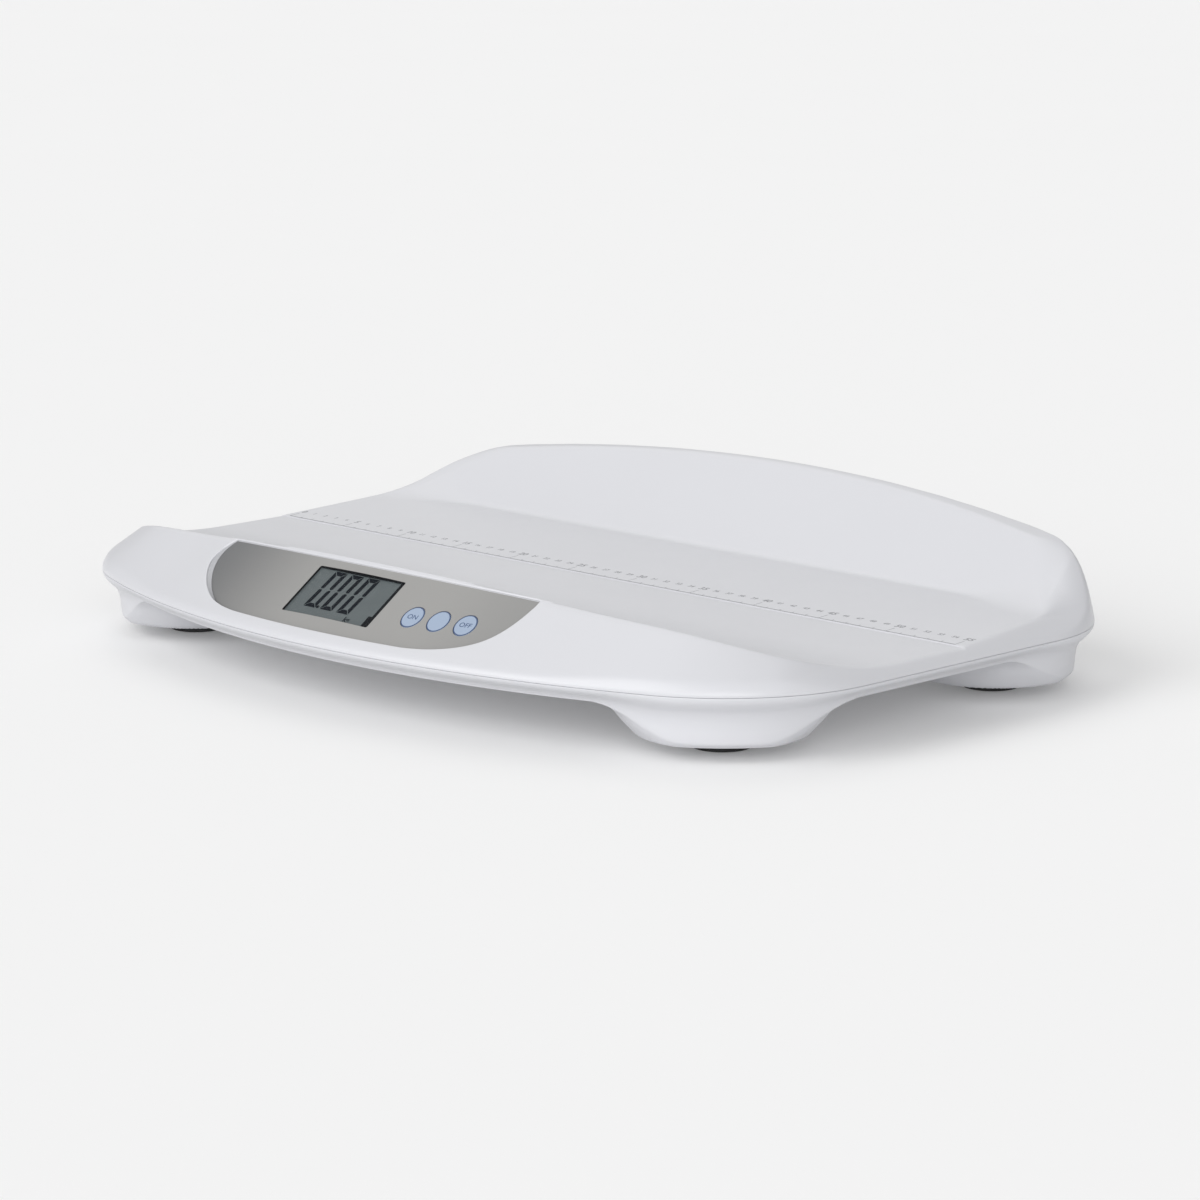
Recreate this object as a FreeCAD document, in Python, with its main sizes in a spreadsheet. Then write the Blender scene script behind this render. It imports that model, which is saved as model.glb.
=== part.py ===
import FreeCAD, Part
import math
import os
import Sketcher

# Digital baby weighing scale.
# Frame: origin on the floor under the middle of the tray, +X to the user's right,
# -Y towards the user (the display side), +Z up. Millimetres and degrees.

doc = FreeCAD.newDocument("baby_scale")
sheet = doc.addObject("Spreadsheet::Sheet", "Sizes")

DIMENSIONS = {
    # plan of the seam between the two shells
    "half_width": 289, "front_reach": 204, "back_reach": 204,
    "front_arc": 586, "back_arc": 1423, "front_corner": 105, "back_corner": 90,
    # heights above the floor
    "seam_height": 38.5, "lip_rise": 3, "apron_rise": 39, "crown_rise": 19,
    "tray_height": 44.5, "crease_height": 50.5, "rim_height": 94,
    # slopes, in degrees
    "apron_angle": 33, "wall_lean": 14.5, "wall_end_angle": 38,
    # weighing surface, front to back
    "trough_radius": 250, "trough_length": 179, "ruler_line": 26, "ruler_step": 0.7,
    "crease_inset": 87, "rim_back_inset": 22, "rim_side_inset": 23, "rim_corner": 50, "crease_corner": 2,
    # arch of the back rim and the rounded shoulders at its ends
    "rim_arch": 1700, "shoulder_start_inset": 69, "shoulder_end_inset": 14, "shoulder_height": 49.5,
    "shoulder_radius": 80, "shoulder_angle": 52, "edge_slope": 34,
    "tray_skin": 3, "rib_thickness": 1.5, "rib_depth": 4, "rib_cell": 38.5,
    # rounded edges of the tray
    "lip_round": 2, "crest_round": 1.5, "rim_round": 2,
    # base with its four feet pods
    "base_bottom": 29.5, "base_skin": 3, "pod_bottom": 8.5, "pod_radius": 49, "pod_round": 3,
    "pod_waist_radius": 56, "pod_waist_height": 18, "pod_flare": 16, "pod_flare_radius": 26,
    "front_pod_side": 71, "front_pod_end": 107, "back_pod_side": 64, "back_pod_end": 86,
    # control panel, let into the sloping front
    "panel_recess": 2.5, "panel_sheet": 1, "panel_backing": 2, "backing_margin": 2,
    "panel_bottom": 8, "panel_top": 51.5,
    "panel_top_arc": 881, "panel_half": 126.5, "panel_straight": 70, "panel_shoulder": 115.5,
    "panel_shoulder_back": 31.4, "panel_corner": 87, "panel_side": 128.4, "panel_side_back": 55.8,
    "panel_side_arc": 34.5,
    # display window and what stands behind it
    "window_half_x": 35.5, "window_half_y": 18.25, "window_back": 30.25, "lens_depth": 2,
    "lens_sheet": 1, "lens_overlap": 0.4, "lens_gap": 0.1, "frame_wall": 2.6, "frame_flange": 2.5,
    "frame_flange_sheet": 1.4, "frame_sunk": 0.87, "module_depth": 2.8,
    "board_sheet": 1.6, "display_board_x": 47.5, "display_board_y": 26,
    "display_post_x": 43.6, "display_post_y": 12,
    # buttons
    "button_radius": 8.1, "button_gap": 0.3, "button_pitch": 1.9, "button_turn": 8, "button_back": 26,
    "button_proud": 0.2, "button_flange": 0.9, "button_flange_sheet": 1, "button_travel": 0.8,
    "plunger_radius": 2, "plunger_length": 1.5, "switch_side": 6, "switch_height": 3.5, "switch_key": 1,
    "key_board_x": 25, "key_board_y": 13, "key_post_x": 9.28, "key_post_y": 9.8,
    # feet and load cells
    "pad_radius": 17, "pad_thickness": 8, "pad_edge": 1, "cup_flange": 4.5, "cup_height": 5.5,
    "cup_sheet": 1.5,
    "cup_gap": 0.5, "stem_radius": 5, "stem_height": 3.4, "cell_side": 34, "cell_sheet": 1.6,
    "tongue_half": 5.4, "tongue_slot": 3.4, "tongue_front": 10.2, "tongue_back": 10.8,
    "holder_x": 32, "holder_y": 15, "holder_sheet": 3, "holder_corner": 4, "holder_screw_x": 27,
    "post_radius": 4,
    # battery bay
    "battery_radius": 7.25, "battery_length": 50.5, "battery_gap": 0.7, "battery_clear": 1.3,
    "tip_radius": 2.8, "tip_length": 1.5, "spring_length": 4.5, "spring_radius": 5.25, "spring_base": 0.8,
    "contact_sheet": 0.4, "contact_half": 6.25, "bay_wall": 2, "bay_reach": 99.3, "bay_width": 40.6,
    "bay_end": 0.3,
    "door_sheet": 2.4, "door_gap": 0.3, "hook_x": 30, "hook_width": 12, "hook_reach": 3.2,
    "hook_sheet": 1.8, "hook_lift": 1.1, "web_front": 3, "web_back": 1.2,
    "grip_half": 12, "grip_start": 3, "grip_width": 6, "grip_depth": 1,
    # fasteners
    "front_post_x": 120, "front_post_end": 36, "side_post_side": 31, "side_post_y": 12,
    "back_post_x": 120, "back_post_end": 32, "middle_post_x": 40, "middle_post_y": 60,
    "case_boss": 4.2, "case_screw": 1.2, "case_head": 2.9, "case_head_height": 2, "case_screw_length": 10.8,
    "small_boss": 2.6, "small_screw": 0.9, "small_head": 2, "small_head_height": 1.2,
    "small_screw_length": 3.5, "screw_gap": 0.1, "fit_gap": 0.3,
}


class Size:
    """A dimension that carries its number and its spreadsheet expression together."""

    def __init__(self, value, text):
        self.value = value
        self.text = text

    def __add__(self, other):
        other = as_size(other)
        return Size(self.value + other.value, f"({self.text} + {other.text})")

    def __sub__(self, other):
        other = as_size(other)
        return Size(self.value - other.value, f"({self.text} - {other.text})")

    def __mul__(self, other):
        other = as_size(other)
        return Size(self.value * other.value, f"({self.text} * {other.text})")

    def __truediv__(self, other):
        other = as_size(other)
        return Size(self.value / other.value, f"({self.text} / {other.text})")

    def __neg__(self):
        return Size(-self.value, f"(0 - {self.text})")

    def __rsub__(self, other):
        return as_size(other) - self

    __radd__ = __add__
    __rmul__ = __mul__


def as_size(number):
    return number if isinstance(number, Size) else Size(float(number), str(number))


def tangent(angle):
    return Size(math.tan(math.radians(angle.value)), f"tan({angle.text})")


def sine(angle):
    return Size(math.sin(math.radians(angle.value)), f"sin({angle.text})")


def cosine(angle):
    return Size(math.cos(math.radians(angle.value)), f"cos({angle.text})")


def root(size):
    return Size(math.sqrt(size.value), f"sqrt({size.text})")


def fill_sheet():
    for row, (name, value) in enumerate(DIMENSIONS.items(), start=1):
        sheet.set(f"A{row}", name)
        sheet.set(f"B{row}", str(value))
        sheet.setAlias(f"B{row}", name)
    doc.recompute()
    return {name: Size(float(value), f"Sizes.{name}") for name, value in DIMENSIONS.items()}


size = fill_sheet()


def bind(item, prop, value):
    item.setExpression(prop, as_size(value).text)


# ---------------------------------------------------------------- sketches and features

def new_body(label):
    body = doc.addObject("PartDesign::Body", label)
    body.Label = label
    return body


def origin_plane(body, role):
    return next(item for item in body.Origin.OriginFeatures if item.Role == role)


def new_sketch(body, role, shift=(0, 0, 0)):
    """Sketch on one of the body's origin planes, its own origin moved by shift."""
    sketch = body.newObject("Sketcher::SketchObject", "Sketch")
    sketch.AttachmentSupport = [(origin_plane(body, role), "")]
    sketch.MapMode = "FlatFace"
    shift = [as_size(part) for part in shift]
    place = FreeCAD.Placement(FreeCAD.Vector(*[part.value for part in shift]), FreeCAD.Rotation())
    sketch.AttachmentOffset = place
    for axis, part in zip("xyz", shift):
        if part.text not in ("0", "0.0"):
            bind(sketch, f"AttachmentOffset.Base.{axis}", part)
    return sketch


def pin(sketch, geometry, point, x, y):
    """Hold one point of a sketch's geometry at x, y."""
    for kind, value in (("DistanceX", as_size(x)), ("DistanceY", as_size(y))):
        index = sketch.addConstraint(Sketcher.Constraint(kind, -1, 1, geometry, point, value.value))
        bind(sketch, f"Constraints[{index}]", value)


def polygon(sketch, points):
    """Closed outline of straight lines through points, each held by its two sizes."""
    points = [(as_size(x), as_size(y)) for x, y in points]
    first = sketch.GeometryCount
    for (x0, y0), (x1, y1) in zip(points, points[1:] + points[:1]):
        start = FreeCAD.Vector(x0.value, y0.value, 0)
        end = FreeCAD.Vector(x1.value, y1.value, 0)
        sketch.addGeometry(Part.LineSegment(start, end))
    last = sketch.GeometryCount - 1
    for line in range(first, last + 1):
        follower = first if line == last else line + 1
        sketch.addConstraint(Sketcher.Constraint("Coincident", line, 2, follower, 1))
    for line, (x, y) in enumerate(points, start=first):
        pin(sketch, line, 1, x, y)


def circle(sketch, x, y, radius):
    x, y, radius = as_size(x), as_size(y), as_size(radius)
    centre = FreeCAD.Vector(x.value, y.value, 0)
    item = sketch.addGeometry(Part.Circle(centre, FreeCAD.Vector(0, 0, 1), radius.value))
    index = sketch.addConstraint(Sketcher.Constraint("Radius", item, radius.value))
    bind(sketch, f"Constraints[{index}]", radius)
    pin(sketch, item, 3, x, y)


# ---------------------------------------------------------------- plan outline

# Corner circles keep their centres at every level, so an inset only shortens their radii.
front_y = -size["front_reach"]
back_y = size["back_reach"]


def corner_centre(reach_y, arc, corner, side):
    """Centre of the right corner circle that is tangent to the end arc and the side."""
    x = size["half_width"] - corner
    along = root((arc - corner) * (arc - corner) - x * x)
    arc_centre = reach_y - side * arc
    return x, arc_centre + side * along


front_x_centre, front_y_centre = corner_centre(front_y, size["front_arc"], size["front_corner"], -1)
back_x_centre, back_y_centre = corner_centre(back_y, size["back_arc"], size["back_corner"], 1)


def outline(sketch, front_inset, back_inset):
    """Eight tangent edges: front arc, corner, side, corner, back arc, corner, side, corner."""
    front_inset, back_inset = as_size(front_inset), as_size(back_inset)
    front_radius = size["front_arc"] - front_inset
    back_radius = size["back_arc"] - back_inset
    front_corner = size["front_corner"] - front_inset
    back_corner = size["back_corner"] - back_inset
    front_centre_y = front_y + size["front_arc"]
    back_centre_y = back_y - size["back_arc"]
    # angles at which neighbouring edges meet
    front_angle = math.atan2(front_y_centre.value - front_centre_y.value, front_x_centre.value)
    back_angle = math.atan2(back_y_centre.value - back_centre_y.value, back_x_centre.value)
    step_x = back_x_centre.value - front_x_centre.value
    step_y = back_y_centre.value - front_y_centre.value
    spread = math.acos((front_corner.value - back_corner.value) / math.hypot(step_x, step_y))
    side_angle = math.atan2(step_y, step_x) - spread

    up = FreeCAD.Vector(0, 0, 1)

    def arc(x, y, radius, start, end):
        ring = Part.Circle(FreeCAD.Vector(x, y, 0), up, radius.value)
        return sketch.addGeometry(Part.ArcOfCircle(ring, start, end))

    def on_corner(x, y, radius, angle):
        return FreeCAD.Vector(x + radius * math.cos(angle), y + radius * math.sin(angle), 0)

    fx, fy = front_x_centre.value, front_y_centre.value
    bx, by = back_x_centre.value, back_y_centre.value
    front = arc(0, front_centre_y.value, front_radius, math.pi - front_angle - 2 * math.pi, front_angle)
    right_front = arc(fx, fy, front_corner, front_angle, side_angle)
    right_side = sketch.addGeometry(Part.LineSegment(
        on_corner(fx, fy, front_corner.value, side_angle),
        on_corner(bx, by, back_corner.value, side_angle)))
    right_back = arc(bx, by, back_corner, side_angle, back_angle)
    back = arc(0, back_centre_y.value, back_radius, back_angle, math.pi - back_angle)
    left_back = arc(-bx, by, back_corner, math.pi - back_angle, math.pi - side_angle)
    left_side = sketch.addGeometry(Part.LineSegment(
        on_corner(-bx, by, back_corner.value, math.pi - side_angle),
        on_corner(-fx, fy, front_corner.value, math.pi - side_angle)))
    left_front = arc(-fx, fy, front_corner, math.pi - side_angle, math.pi - front_angle)

    edges = [front, right_front, right_side, right_back, back, left_back, left_side, left_front]
    for edge, follower in zip(edges, edges[1:] + edges[:1]):
        sketch.addConstraint(Sketcher.Constraint("Tangent", edge, 2, follower, 1))
    radii = ((front, front_radius), (right_front, front_corner), (left_front, front_corner),
             (back, back_radius), (right_back, back_corner), (left_back, back_corner))
    for edge, radius in radii:
        index = sketch.addConstraint(Sketcher.Constraint("Radius", edge, radius.value))
        bind(sketch, f"Constraints[{index}]", radius)
    for edge in (front, back):
        sketch.addConstraint(Sketcher.Constraint("PointOnObject", edge, 3, -2))
    for edge, x, y in ((right_front, front_x_centre, front_y_centre),
                       (right_back, back_x_centre, back_y_centre)):
        pin(sketch, edge, 3, x, y)
    for edge, x in ((left_front, -front_x_centre), (left_back, -back_x_centre)):
        index = sketch.addConstraint(Sketcher.Constraint("DistanceX", -1, 1, edge, 3, x.value))
        bind(sketch, f"Constraints[{index}]", x)


def outline_loft(body, levels):
    """Ruled loft through outlines at (height, front inset, back inset)."""
    sections = []
    for height, front_inset, back_inset in levels:
        sketch = new_sketch(body, "XY_Plane", (0, 0, height))
        outline(sketch, front_inset, back_inset)
        sections.append(sketch)
    doc.recompute()
    loft = body.newObject("PartDesign::AdditiveLoft", "Loft")
    loft.Profile = sections[0]
    loft.Sections = sections[1:]
    loft.Ruled = True
    return loft


def profile(sketch, start, steps):
    """Closed outline: each step is (x, y) for a line or (x, y, radius) for an arc.

    A positive radius turns to the left along the way, a negative one to the right.
    """
    corners = [tuple(as_size(part) for part in start)]
    first = sketch.GeometryCount
    for step in steps:
        x, y = as_size(step[0]), as_size(step[1])
        begin = FreeCAD.Vector(corners[-1][0].value, corners[-1][1].value, 0)
        end = FreeCAD.Vector(x.value, y.value, 0)
        if len(step) == 2:
            sketch.addGeometry(Part.LineSegment(begin, end))
        else:
            add_arc(sketch, begin, end, as_size(step[2]))
        corners.append((x, y))
    last = sketch.GeometryCount - 1
    for edge in range(first, last + 1):
        follower = first if edge == last else edge + 1
        ends = [1 if is_backward(sketch, edge) else 2, 2 if is_backward(sketch, follower) else 1]
        sketch.addConstraint(Sketcher.Constraint("Coincident", edge, ends[0], follower, ends[1]))
    for edge, (x, y) in enumerate(corners[:-1], start=first):
        pin(sketch, edge, 2 if is_backward(sketch, edge) else 1, x, y)
    for edge, step in enumerate(steps, start=first):
        if len(step) == 3:
            radius = as_size(step[2])
            radius = radius if radius.value > 0 else -radius
            index = sketch.addConstraint(Sketcher.Constraint("Radius", edge, radius.value))
            bind(sketch, f"Constraints[{index}]", radius)


def add_arc(sketch, begin, end, radius):
    """Short arc from begin to end; FreeCAD stores every arc anticlockwise."""
    middle = (begin + end) / 2
    across = FreeCAD.Vector(begin.y - end.y, end.x - begin.x, 0)
    half = (end - begin).Length / 2
    reach = math.sqrt(max(radius.value ** 2 - half ** 2, 0))
    across.normalize()
    centre = middle + across * (reach if radius.value > 0 else -reach)
    ring = Part.Circle(centre, FreeCAD.Vector(0, 0, 1), abs(radius.value))
    if radius.value < 0:
        begin, end = end, begin
    angles = [math.atan2(point.y - centre.y, point.x - centre.x) for point in (begin, end)]
    sketch.addGeometry(Part.ArcOfCircle(ring, *angles))
    if radius.value < 0:
        backward.add((sketch.Name, sketch.GeometryCount - 1))


def is_backward(sketch, edge):
    return (sketch.Name, edge) in backward


backward = set()


def rounded_box(sketch, left, bottom, right, top, radius):
    left, bottom, right, top, radius = (as_size(part) for part in (left, bottom, right, top, radius))
    profile(sketch, (left + radius, bottom), [
        (right - radius, bottom), (right, bottom + radius, radius),
        (right, top - radius), (right - radius, top, radius),
        (left + radius, top), (left, top - radius, radius),
        (left, bottom + radius), (left + radius, bottom, radius),
    ])


# how far a cut starts outside the face that it goes through, and how far it goes across a whole body
PAST = 1
ACROSS = 2000


def cut_across(body, sketch):
    """Cut the sketch's area through the whole body, both ways."""
    pocket = body.newObject("PartDesign::Pocket", "Cut")
    pocket.Profile = sketch
    pocket.Midplane = True
    pocket.Type = "Length"
    pocket.Length = ACROSS
    return pocket


def prism(body, bottom, top, draw, *sizes):
    """Pad the outline that draw makes, from height bottom up to height top."""
    sketch = new_sketch(body, "XY_Plane", (0, 0, bottom))
    draw(sketch, *sizes)
    doc.recompute()
    pad = body.newObject("PartDesign::Pad", "Pad")
    pad.Profile = sketch
    pad.Type = "Length"
    bind(pad, "Length", as_size(top) - bottom)
    return pad


def sink(body, bottom, top, draw, *sizes):
    """Pocket the outline that draw makes, from height top down to height bottom."""
    sketch = new_sketch(body, "XY_Plane", (0, 0, top))
    draw(sketch, *sizes)
    doc.recompute()
    pocket = body.newObject("PartDesign::Pocket", "Pocket")
    pocket.Profile = sketch
    pocket.Type = "Length"
    bind(pocket, "Length", as_size(top) - bottom)
    return pocket


def box_outline(sketch, left, front, right, back):
    polygon(sketch, [(left, front), (right, front), (right, back), (left, back)])


def circles(sketch, radius, *centres):
    for x, y in centres:
        circle(sketch, x, y, radius)


def turned(body, points):
    """Revolve an outline, given as (radius, height), about the body's upright axis."""
    sketch = new_sketch(body, "XZ_Plane")
    polygon(sketch, points)
    doc.recompute()
    revolution = body.newObject("PartDesign::Revolution", "Turned")
    revolution.Profile = sketch
    revolution.ReferenceAxis = (sketch, ["V_Axis"])
    revolution.Angle = 360
    return revolution


def combine(kind, label, parts):
    """Part boolean or compound of whole objects."""
    item = doc.addObject(f"Part::{kind}", label)
    item.Label = label
    if kind == "Cut":
        item.Base, item.Tool = parts
    elif kind == "Compound":
        item.Links = parts
    else:
        item.Shapes = parts
    return item


def node(item):
    """Mark an object as one of the scale's separate pieces."""
    nodes.append(item)
    return item


nodes = []
LEFT_RIGHT = (("left", -1), ("right", 1))


# ---------------------------------------------------------------- weighing tray

# how far the cutting outlines run past the tray
CLEAR_ABOVE = 200
FRONT_OF_CREST = 160
OVERSHOOT = 20
crease_y = back_y - size["crease_inset"]
lip_height = size["seam_height"] + size["lip_rise"]


def cut_trough(body, skin):
    """Everything above the curved front slope, the ruler step and the tray floor."""
    radius = size["trough_radius"] + skin
    start = front_y + size["trough_length"]
    floor = size["tray_height"] - skin
    crest_end = floor + radius - root(radius * radius - FRONT_OF_CREST * FRONT_OF_CREST)
    crease = crease_y + skin * tangent(size["wall_end_angle"] / 2)
    crease_height = size["crease_height"] - skin
    end_rise = CLEAR_ABOVE - crease_height
    sketch = new_sketch(body, "YZ_Plane")
    profile(sketch, (start, floor), [
        (size["ruler_line"], floor),
        (size["ruler_line"], floor + size["ruler_step"]),
        (crease, crease_height),
        (crease + end_rise / tangent(size["wall_end_angle"]), CLEAR_ABOVE),
        (start - FRONT_OF_CREST, CLEAR_ABOVE),
        (start - FRONT_OF_CREST, crest_end),
        (start, floor, radius),
    ])
    cut_across(body, sketch)


def cut_rim_arch(body, skin):
    """Everything above the shallow rim arch, its rounded shoulders and the sloping side edges."""
    arch = size["rim_arch"] - skin
    shoulder = size["shoulder_radius"] - skin
    lean = size["shoulder_angle"]
    start = size["half_width"] - size["shoulder_start_inset"]
    half = start * arch / size["rim_arch"]
    spring = size["rim_height"] - size["rim_arch"] + root(arch * arch - half * half)
    reach = size["half_width"] - size["shoulder_end_inset"] - skin * sine(lean)
    height = size["shoulder_height"] - skin * cosine(lean)
    end = size["half_width"] + OVERSHOOT
    end_height = height - (end - reach) * tangent(size["edge_slope"])
    sketch = new_sketch(body, "XZ_Plane")
    profile(sketch, (end, end_height), [
        (end, CLEAR_ABOVE), (-end, CLEAR_ABOVE), (-end, end_height),
        (-reach, height), (-half, spring, -shoulder), (half, spring, -arch), (reach, height, -shoulder),
        (end, end_height),
    ])
    cut_across(body, sketch)


def cut_back_wall(body, skin):
    """Sloping inner face of the back wall, lofted from the crease up to the rim."""
    rim_y = back_y - size["rim_back_inset"]
    run = rim_y - crease_y
    rise = size["rim_height"] - size["crease_height"]
    shift = skin * root(run * run + rise * rise) / rise
    front = crease_y - 2 * size["rim_corner"]
    side = size["half_width"] - size["rim_side_inset"] + skin
    levels = ((size["crease_height"] - skin, crease_y + shift - skin * run / rise, size["crease_corner"]),
              (size["rim_height"], rim_y + shift, size["rim_corner"]))
    sections = []
    for height, back, radius in levels:
        sketch = new_sketch(body, "XY_Plane", (0, 0, height))
        rounded_box(sketch, -side, front, side, back, radius)
        sections.append(sketch)
    doc.recompute()
    loft = body.newObject("PartDesign::SubtractiveLoft", "BackWall")
    loft.Profile = sections[0]
    loft.Sections = sections[1:]
    loft.Ruled = True


# sizes nearer to each other than this are taken as equal
CLOSE = 0.01


def edges_along(shape, radius):
    """Names of the long edges between a cylinder of that radius and a cone or a drawn-out corner."""
    names = []
    for number, edge in enumerate(shape.Edges, start=1):
        if edge.Length < size["rim_corner"].value:
            continue
        faces = [face.Surface for face in shape.ancestorsOfType(edge, Part.Face)]
        for near, far in (faces, faces[::-1]):
            if isinstance(near, Part.Cylinder) and isinstance(far, (Part.Cone, Part.BSplineSurface)):
                if abs(near.Radius - radius.value) < CLOSE:
                    names.append(f"Edge{number}")
    return names


def edges_at(shape, height, front_of):
    """Names of the level edges at that height that lie wholly in front of a line across the tray."""
    names = []
    for number, edge in enumerate(shape.Edges, start=1):
        middle = edge.valueAt((edge.FirstParameter + edge.LastParameter) / 2)
        points = [middle, *[vertex.Point for vertex in edge.Vertexes]]
        if all(abs(point.z - height.value) < CLOSE and point.y < front_of for point in points):
            names.append(f"Edge{number}")
    return names


def soften(body, label, names, radius):
    rough = body.Tip
    fillet = body.newObject("PartDesign::Fillet", label)
    fillet.Base = (rough, names)
    bind(fillet, "Radius", radius)
    doc.recompute()


def round_tray(body):
    """Soft edges along the lip, the crest and both sides of the rim."""
    soften(body, "RoundLip", edges_at(body.Shape, lip_height, 0), size["lip_round"])
    soften(body, "RoundCrest", edges_along(body.Shape, size["trough_radius"]), size["crest_round"])
    soften(body, "RoundRim", edges_along(body.Shape, size["rim_arch"]), size["rim_round"])


def tray_form(label, skin):
    """Outer form of the weighing tray, sunk by skin all over for the hollow inside it."""
    body = new_body(label)
    skin = as_size(skin)
    lean = tangent(size["wall_lean"])
    lip = size["seam_height"] + size["lip_rise"] - skin * tangent((90 - size["apron_angle"]) / 2)
    apron_run = size["apron_rise"] / tangent(size["apron_angle"])
    outline_loft(body, [
        (size["seam_height"] - skin, skin, skin),
        (lip, skin, skin + size["lip_rise"] * lean),
        (lip + size["apron_rise"], skin + apron_run,
         skin + (size["lip_rise"] + size["apron_rise"]) * lean),
        (lip + size["apron_rise"] + size["crown_rise"], skin + apron_run,
         skin + (size["lip_rise"] + size["apron_rise"] + size["crown_rise"]) * lean),
    ])
    cut_trough(body, skin)
    cut_rim_arch(body, skin)
    cut_back_wall(body, skin)
    return body


# ---------------------------------------------------------------- sloping front

# The apron is part of a cone. Its axis stands upright behind the tray, and every piece of the
# control panel is placed by its turn about that axis and by how far it lies back from the lip.
axis_y = front_y + size["front_arc"]
slope = tangent(size["apron_angle"])
diagonal = Size(45.0, "45")
SLAB_SWEEP = 60
steep = cosine(size["apron_angle"])


def on_apron(back, turn=0.0):
    """Placement with X along the lip, Y up the slope and Z out of the apron."""
    radius = size["front_arc"].value - back.value
    angle = math.radians(turn)
    base = FreeCAD.Vector(radius * math.sin(angle), axis_y.value - radius * math.cos(angle),
                          lip_height.value + back.value * slope.value)
    up = FreeCAD.Rotation(FreeCAD.Vector(0, 0, 1), turn)
    tilt = FreeCAD.Rotation(FreeCAD.Vector(1, 0, 0), size["apron_angle"].value)
    return FreeCAD.Placement(base, up.multiply(tilt))


def panel_outline(sketch, grow):
    """Plan of the control panel: a wide shield that follows the lip below and the crest above."""
    grow = as_size(grow)
    bottom = size["front_arc"] - size["panel_bottom"] + grow
    straight = size["panel_straight"]
    bottom_y = axis_y - root(bottom * bottom - straight * straight)
    shoulder = size["panel_shoulder"] + grow * cosine(diagonal)
    shoulder_y = front_y + size["panel_shoulder_back"] - grow * sine(diagonal)
    corner = size["panel_corner"] + grow
    side = size["panel_side"] + grow
    side_y = front_y + size["panel_side_back"]
    side_arc = size["panel_side_arc"] + grow
    top = size["panel_top_arc"] - grow
    half = size["panel_half"] + grow
    top_centre_y = front_y + size["panel_top"] + size["panel_top_arc"]
    corner_y = top_centre_y - root(top * top - half * half)
    profile(sketch, (-straight, bottom_y), [
        (straight, bottom_y, bottom), (shoulder, shoulder_y, corner), (side, side_y, side_arc),
        (half, corner_y), (-half, corner_y, -top), (-side, side_y),
        (-shoulder, shoulder_y, side_arc), (-straight, bottom_y, corner),
    ])


def apron_slab(label, low, high, grow):
    """Conical sheet between two depths below the apron, cut to the panel's plan."""
    body = new_body(label)
    near = front_y - OVERSHOOT
    far = front_y + 2 * size["panel_top"]
    sketch = new_sketch(body, "YZ_Plane")

    def height(y, depth):
        return lip_height + (y - front_y) * slope + as_size(depth) / steep

    polygon(sketch, [(near, height(near, low)), (far, height(far, low)),
                     (far, height(far, high)), (near, height(near, high))])
    axis_foot = FreeCAD.Vector(axis_y.value, 0, 0)
    axis_top = FreeCAD.Vector(axis_y.value, lip_height.value, 0)
    line = sketch.addGeometry(Part.LineSegment(axis_foot, axis_top), True)
    pin(sketch, line, 1, axis_y, 0)
    pin(sketch, line, 2, axis_y, lip_height)
    doc.recompute()
    ring = body.newObject("PartDesign::Revolution", "Cone")
    ring.Profile = sketch
    ring.ReferenceAxis = (sketch, ["Axis0"])
    ring.Midplane = True
    ring.Angle = SLAB_SWEEP

    def around(sketch):
        reach = 2 * size["half_width"]
        box_outline(sketch, -reach, front_y - reach, reach, axis_y)
        panel_outline(sketch, grow)

    sink(body, -CLEAR_ABOVE, CLEAR_ABOVE, around)
    return body


panel_top = -size["panel_recess"]
above_apron = 4 * size["panel_recess"]
panel_back = panel_top - size["panel_sheet"]
backing_back = panel_back - size["panel_backing"]
window_half = (size["window_half_x"], size["window_half_y"])
buttons = [(name, size["button_turn"].value + step * size["button_pitch"].value)
           for name, step in (("left", -1), ("middle", 0), ("right", 1))]


def on_window(body):
    body.Placement = on_apron(size["window_back"])
    return body


def on_button(body, turn):
    body.Placement = on_apron(size["button_back"], turn)
    return body


def rectangle(sketch, half_x, half_y):
    box_outline(sketch, -half_x, -half_y, half_x, half_y)


def through_window(label, grow):
    body = on_window(new_body(label))
    prism(body, -2 * size["display_board_y"], above_apron, rectangle,
          window_half[0] + grow, window_half[1] + grow)
    return body


def through_buttons(label, grow):
    holes = []
    for name, turn in buttons:
        body = on_button(new_body(f"{label}_{name}"), turn)
        radius = size["button_radius"]
        prism(body, -2 * radius, radius, circle, 0, 0, radius + grow)
        holes.append(body)
    return holes


def key_posts():
    x, y = size["key_post_x"], size["key_post_y"]
    return [(-x, -y), (x, -y), (-x, y), (x, y)]


def display_posts():
    x, y = size["display_post_x"], size["display_post_y"]
    return [(-x, -y), (x, -y), (-x, y), (x, y)]


plunger_end = backing_back - size["button_flange_sheet"] - size["plunger_length"]
key_board_top = plunger_end - size["button_travel"] - size["button_gap"] - size["screw_gap"] \
    - size["switch_height"]
frame_top = panel_back - size["frame_sunk"]
lens_top = panel_top - size["lens_depth"]
module_top = lens_top - size["lens_sheet"]
display_board_top = module_top - size["module_depth"]


def board_posts(label, posts, board_top, place):
    """Screw posts that hang from the panel's backing down to a circuit board."""
    body = new_body(label)
    body.AllowCompound = True
    prism(body, board_top, backing_back + size["panel_backing"] / 2, circles, size["small_boss"], *posts)
    body.Placement = place
    return body


def board_pilots(label, posts, board_top, place):
    body = new_body(label)
    body.AllowCompound = True
    depth = size["small_screw_length"] - size["board_sheet"]
    prism(body, board_top - PAST, board_top + depth, circles, size["small_screw"] + size["screw_gap"], *posts)
    body.Placement = place
    return body


# ---------------------------------------------------------------- screws through both shells

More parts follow.
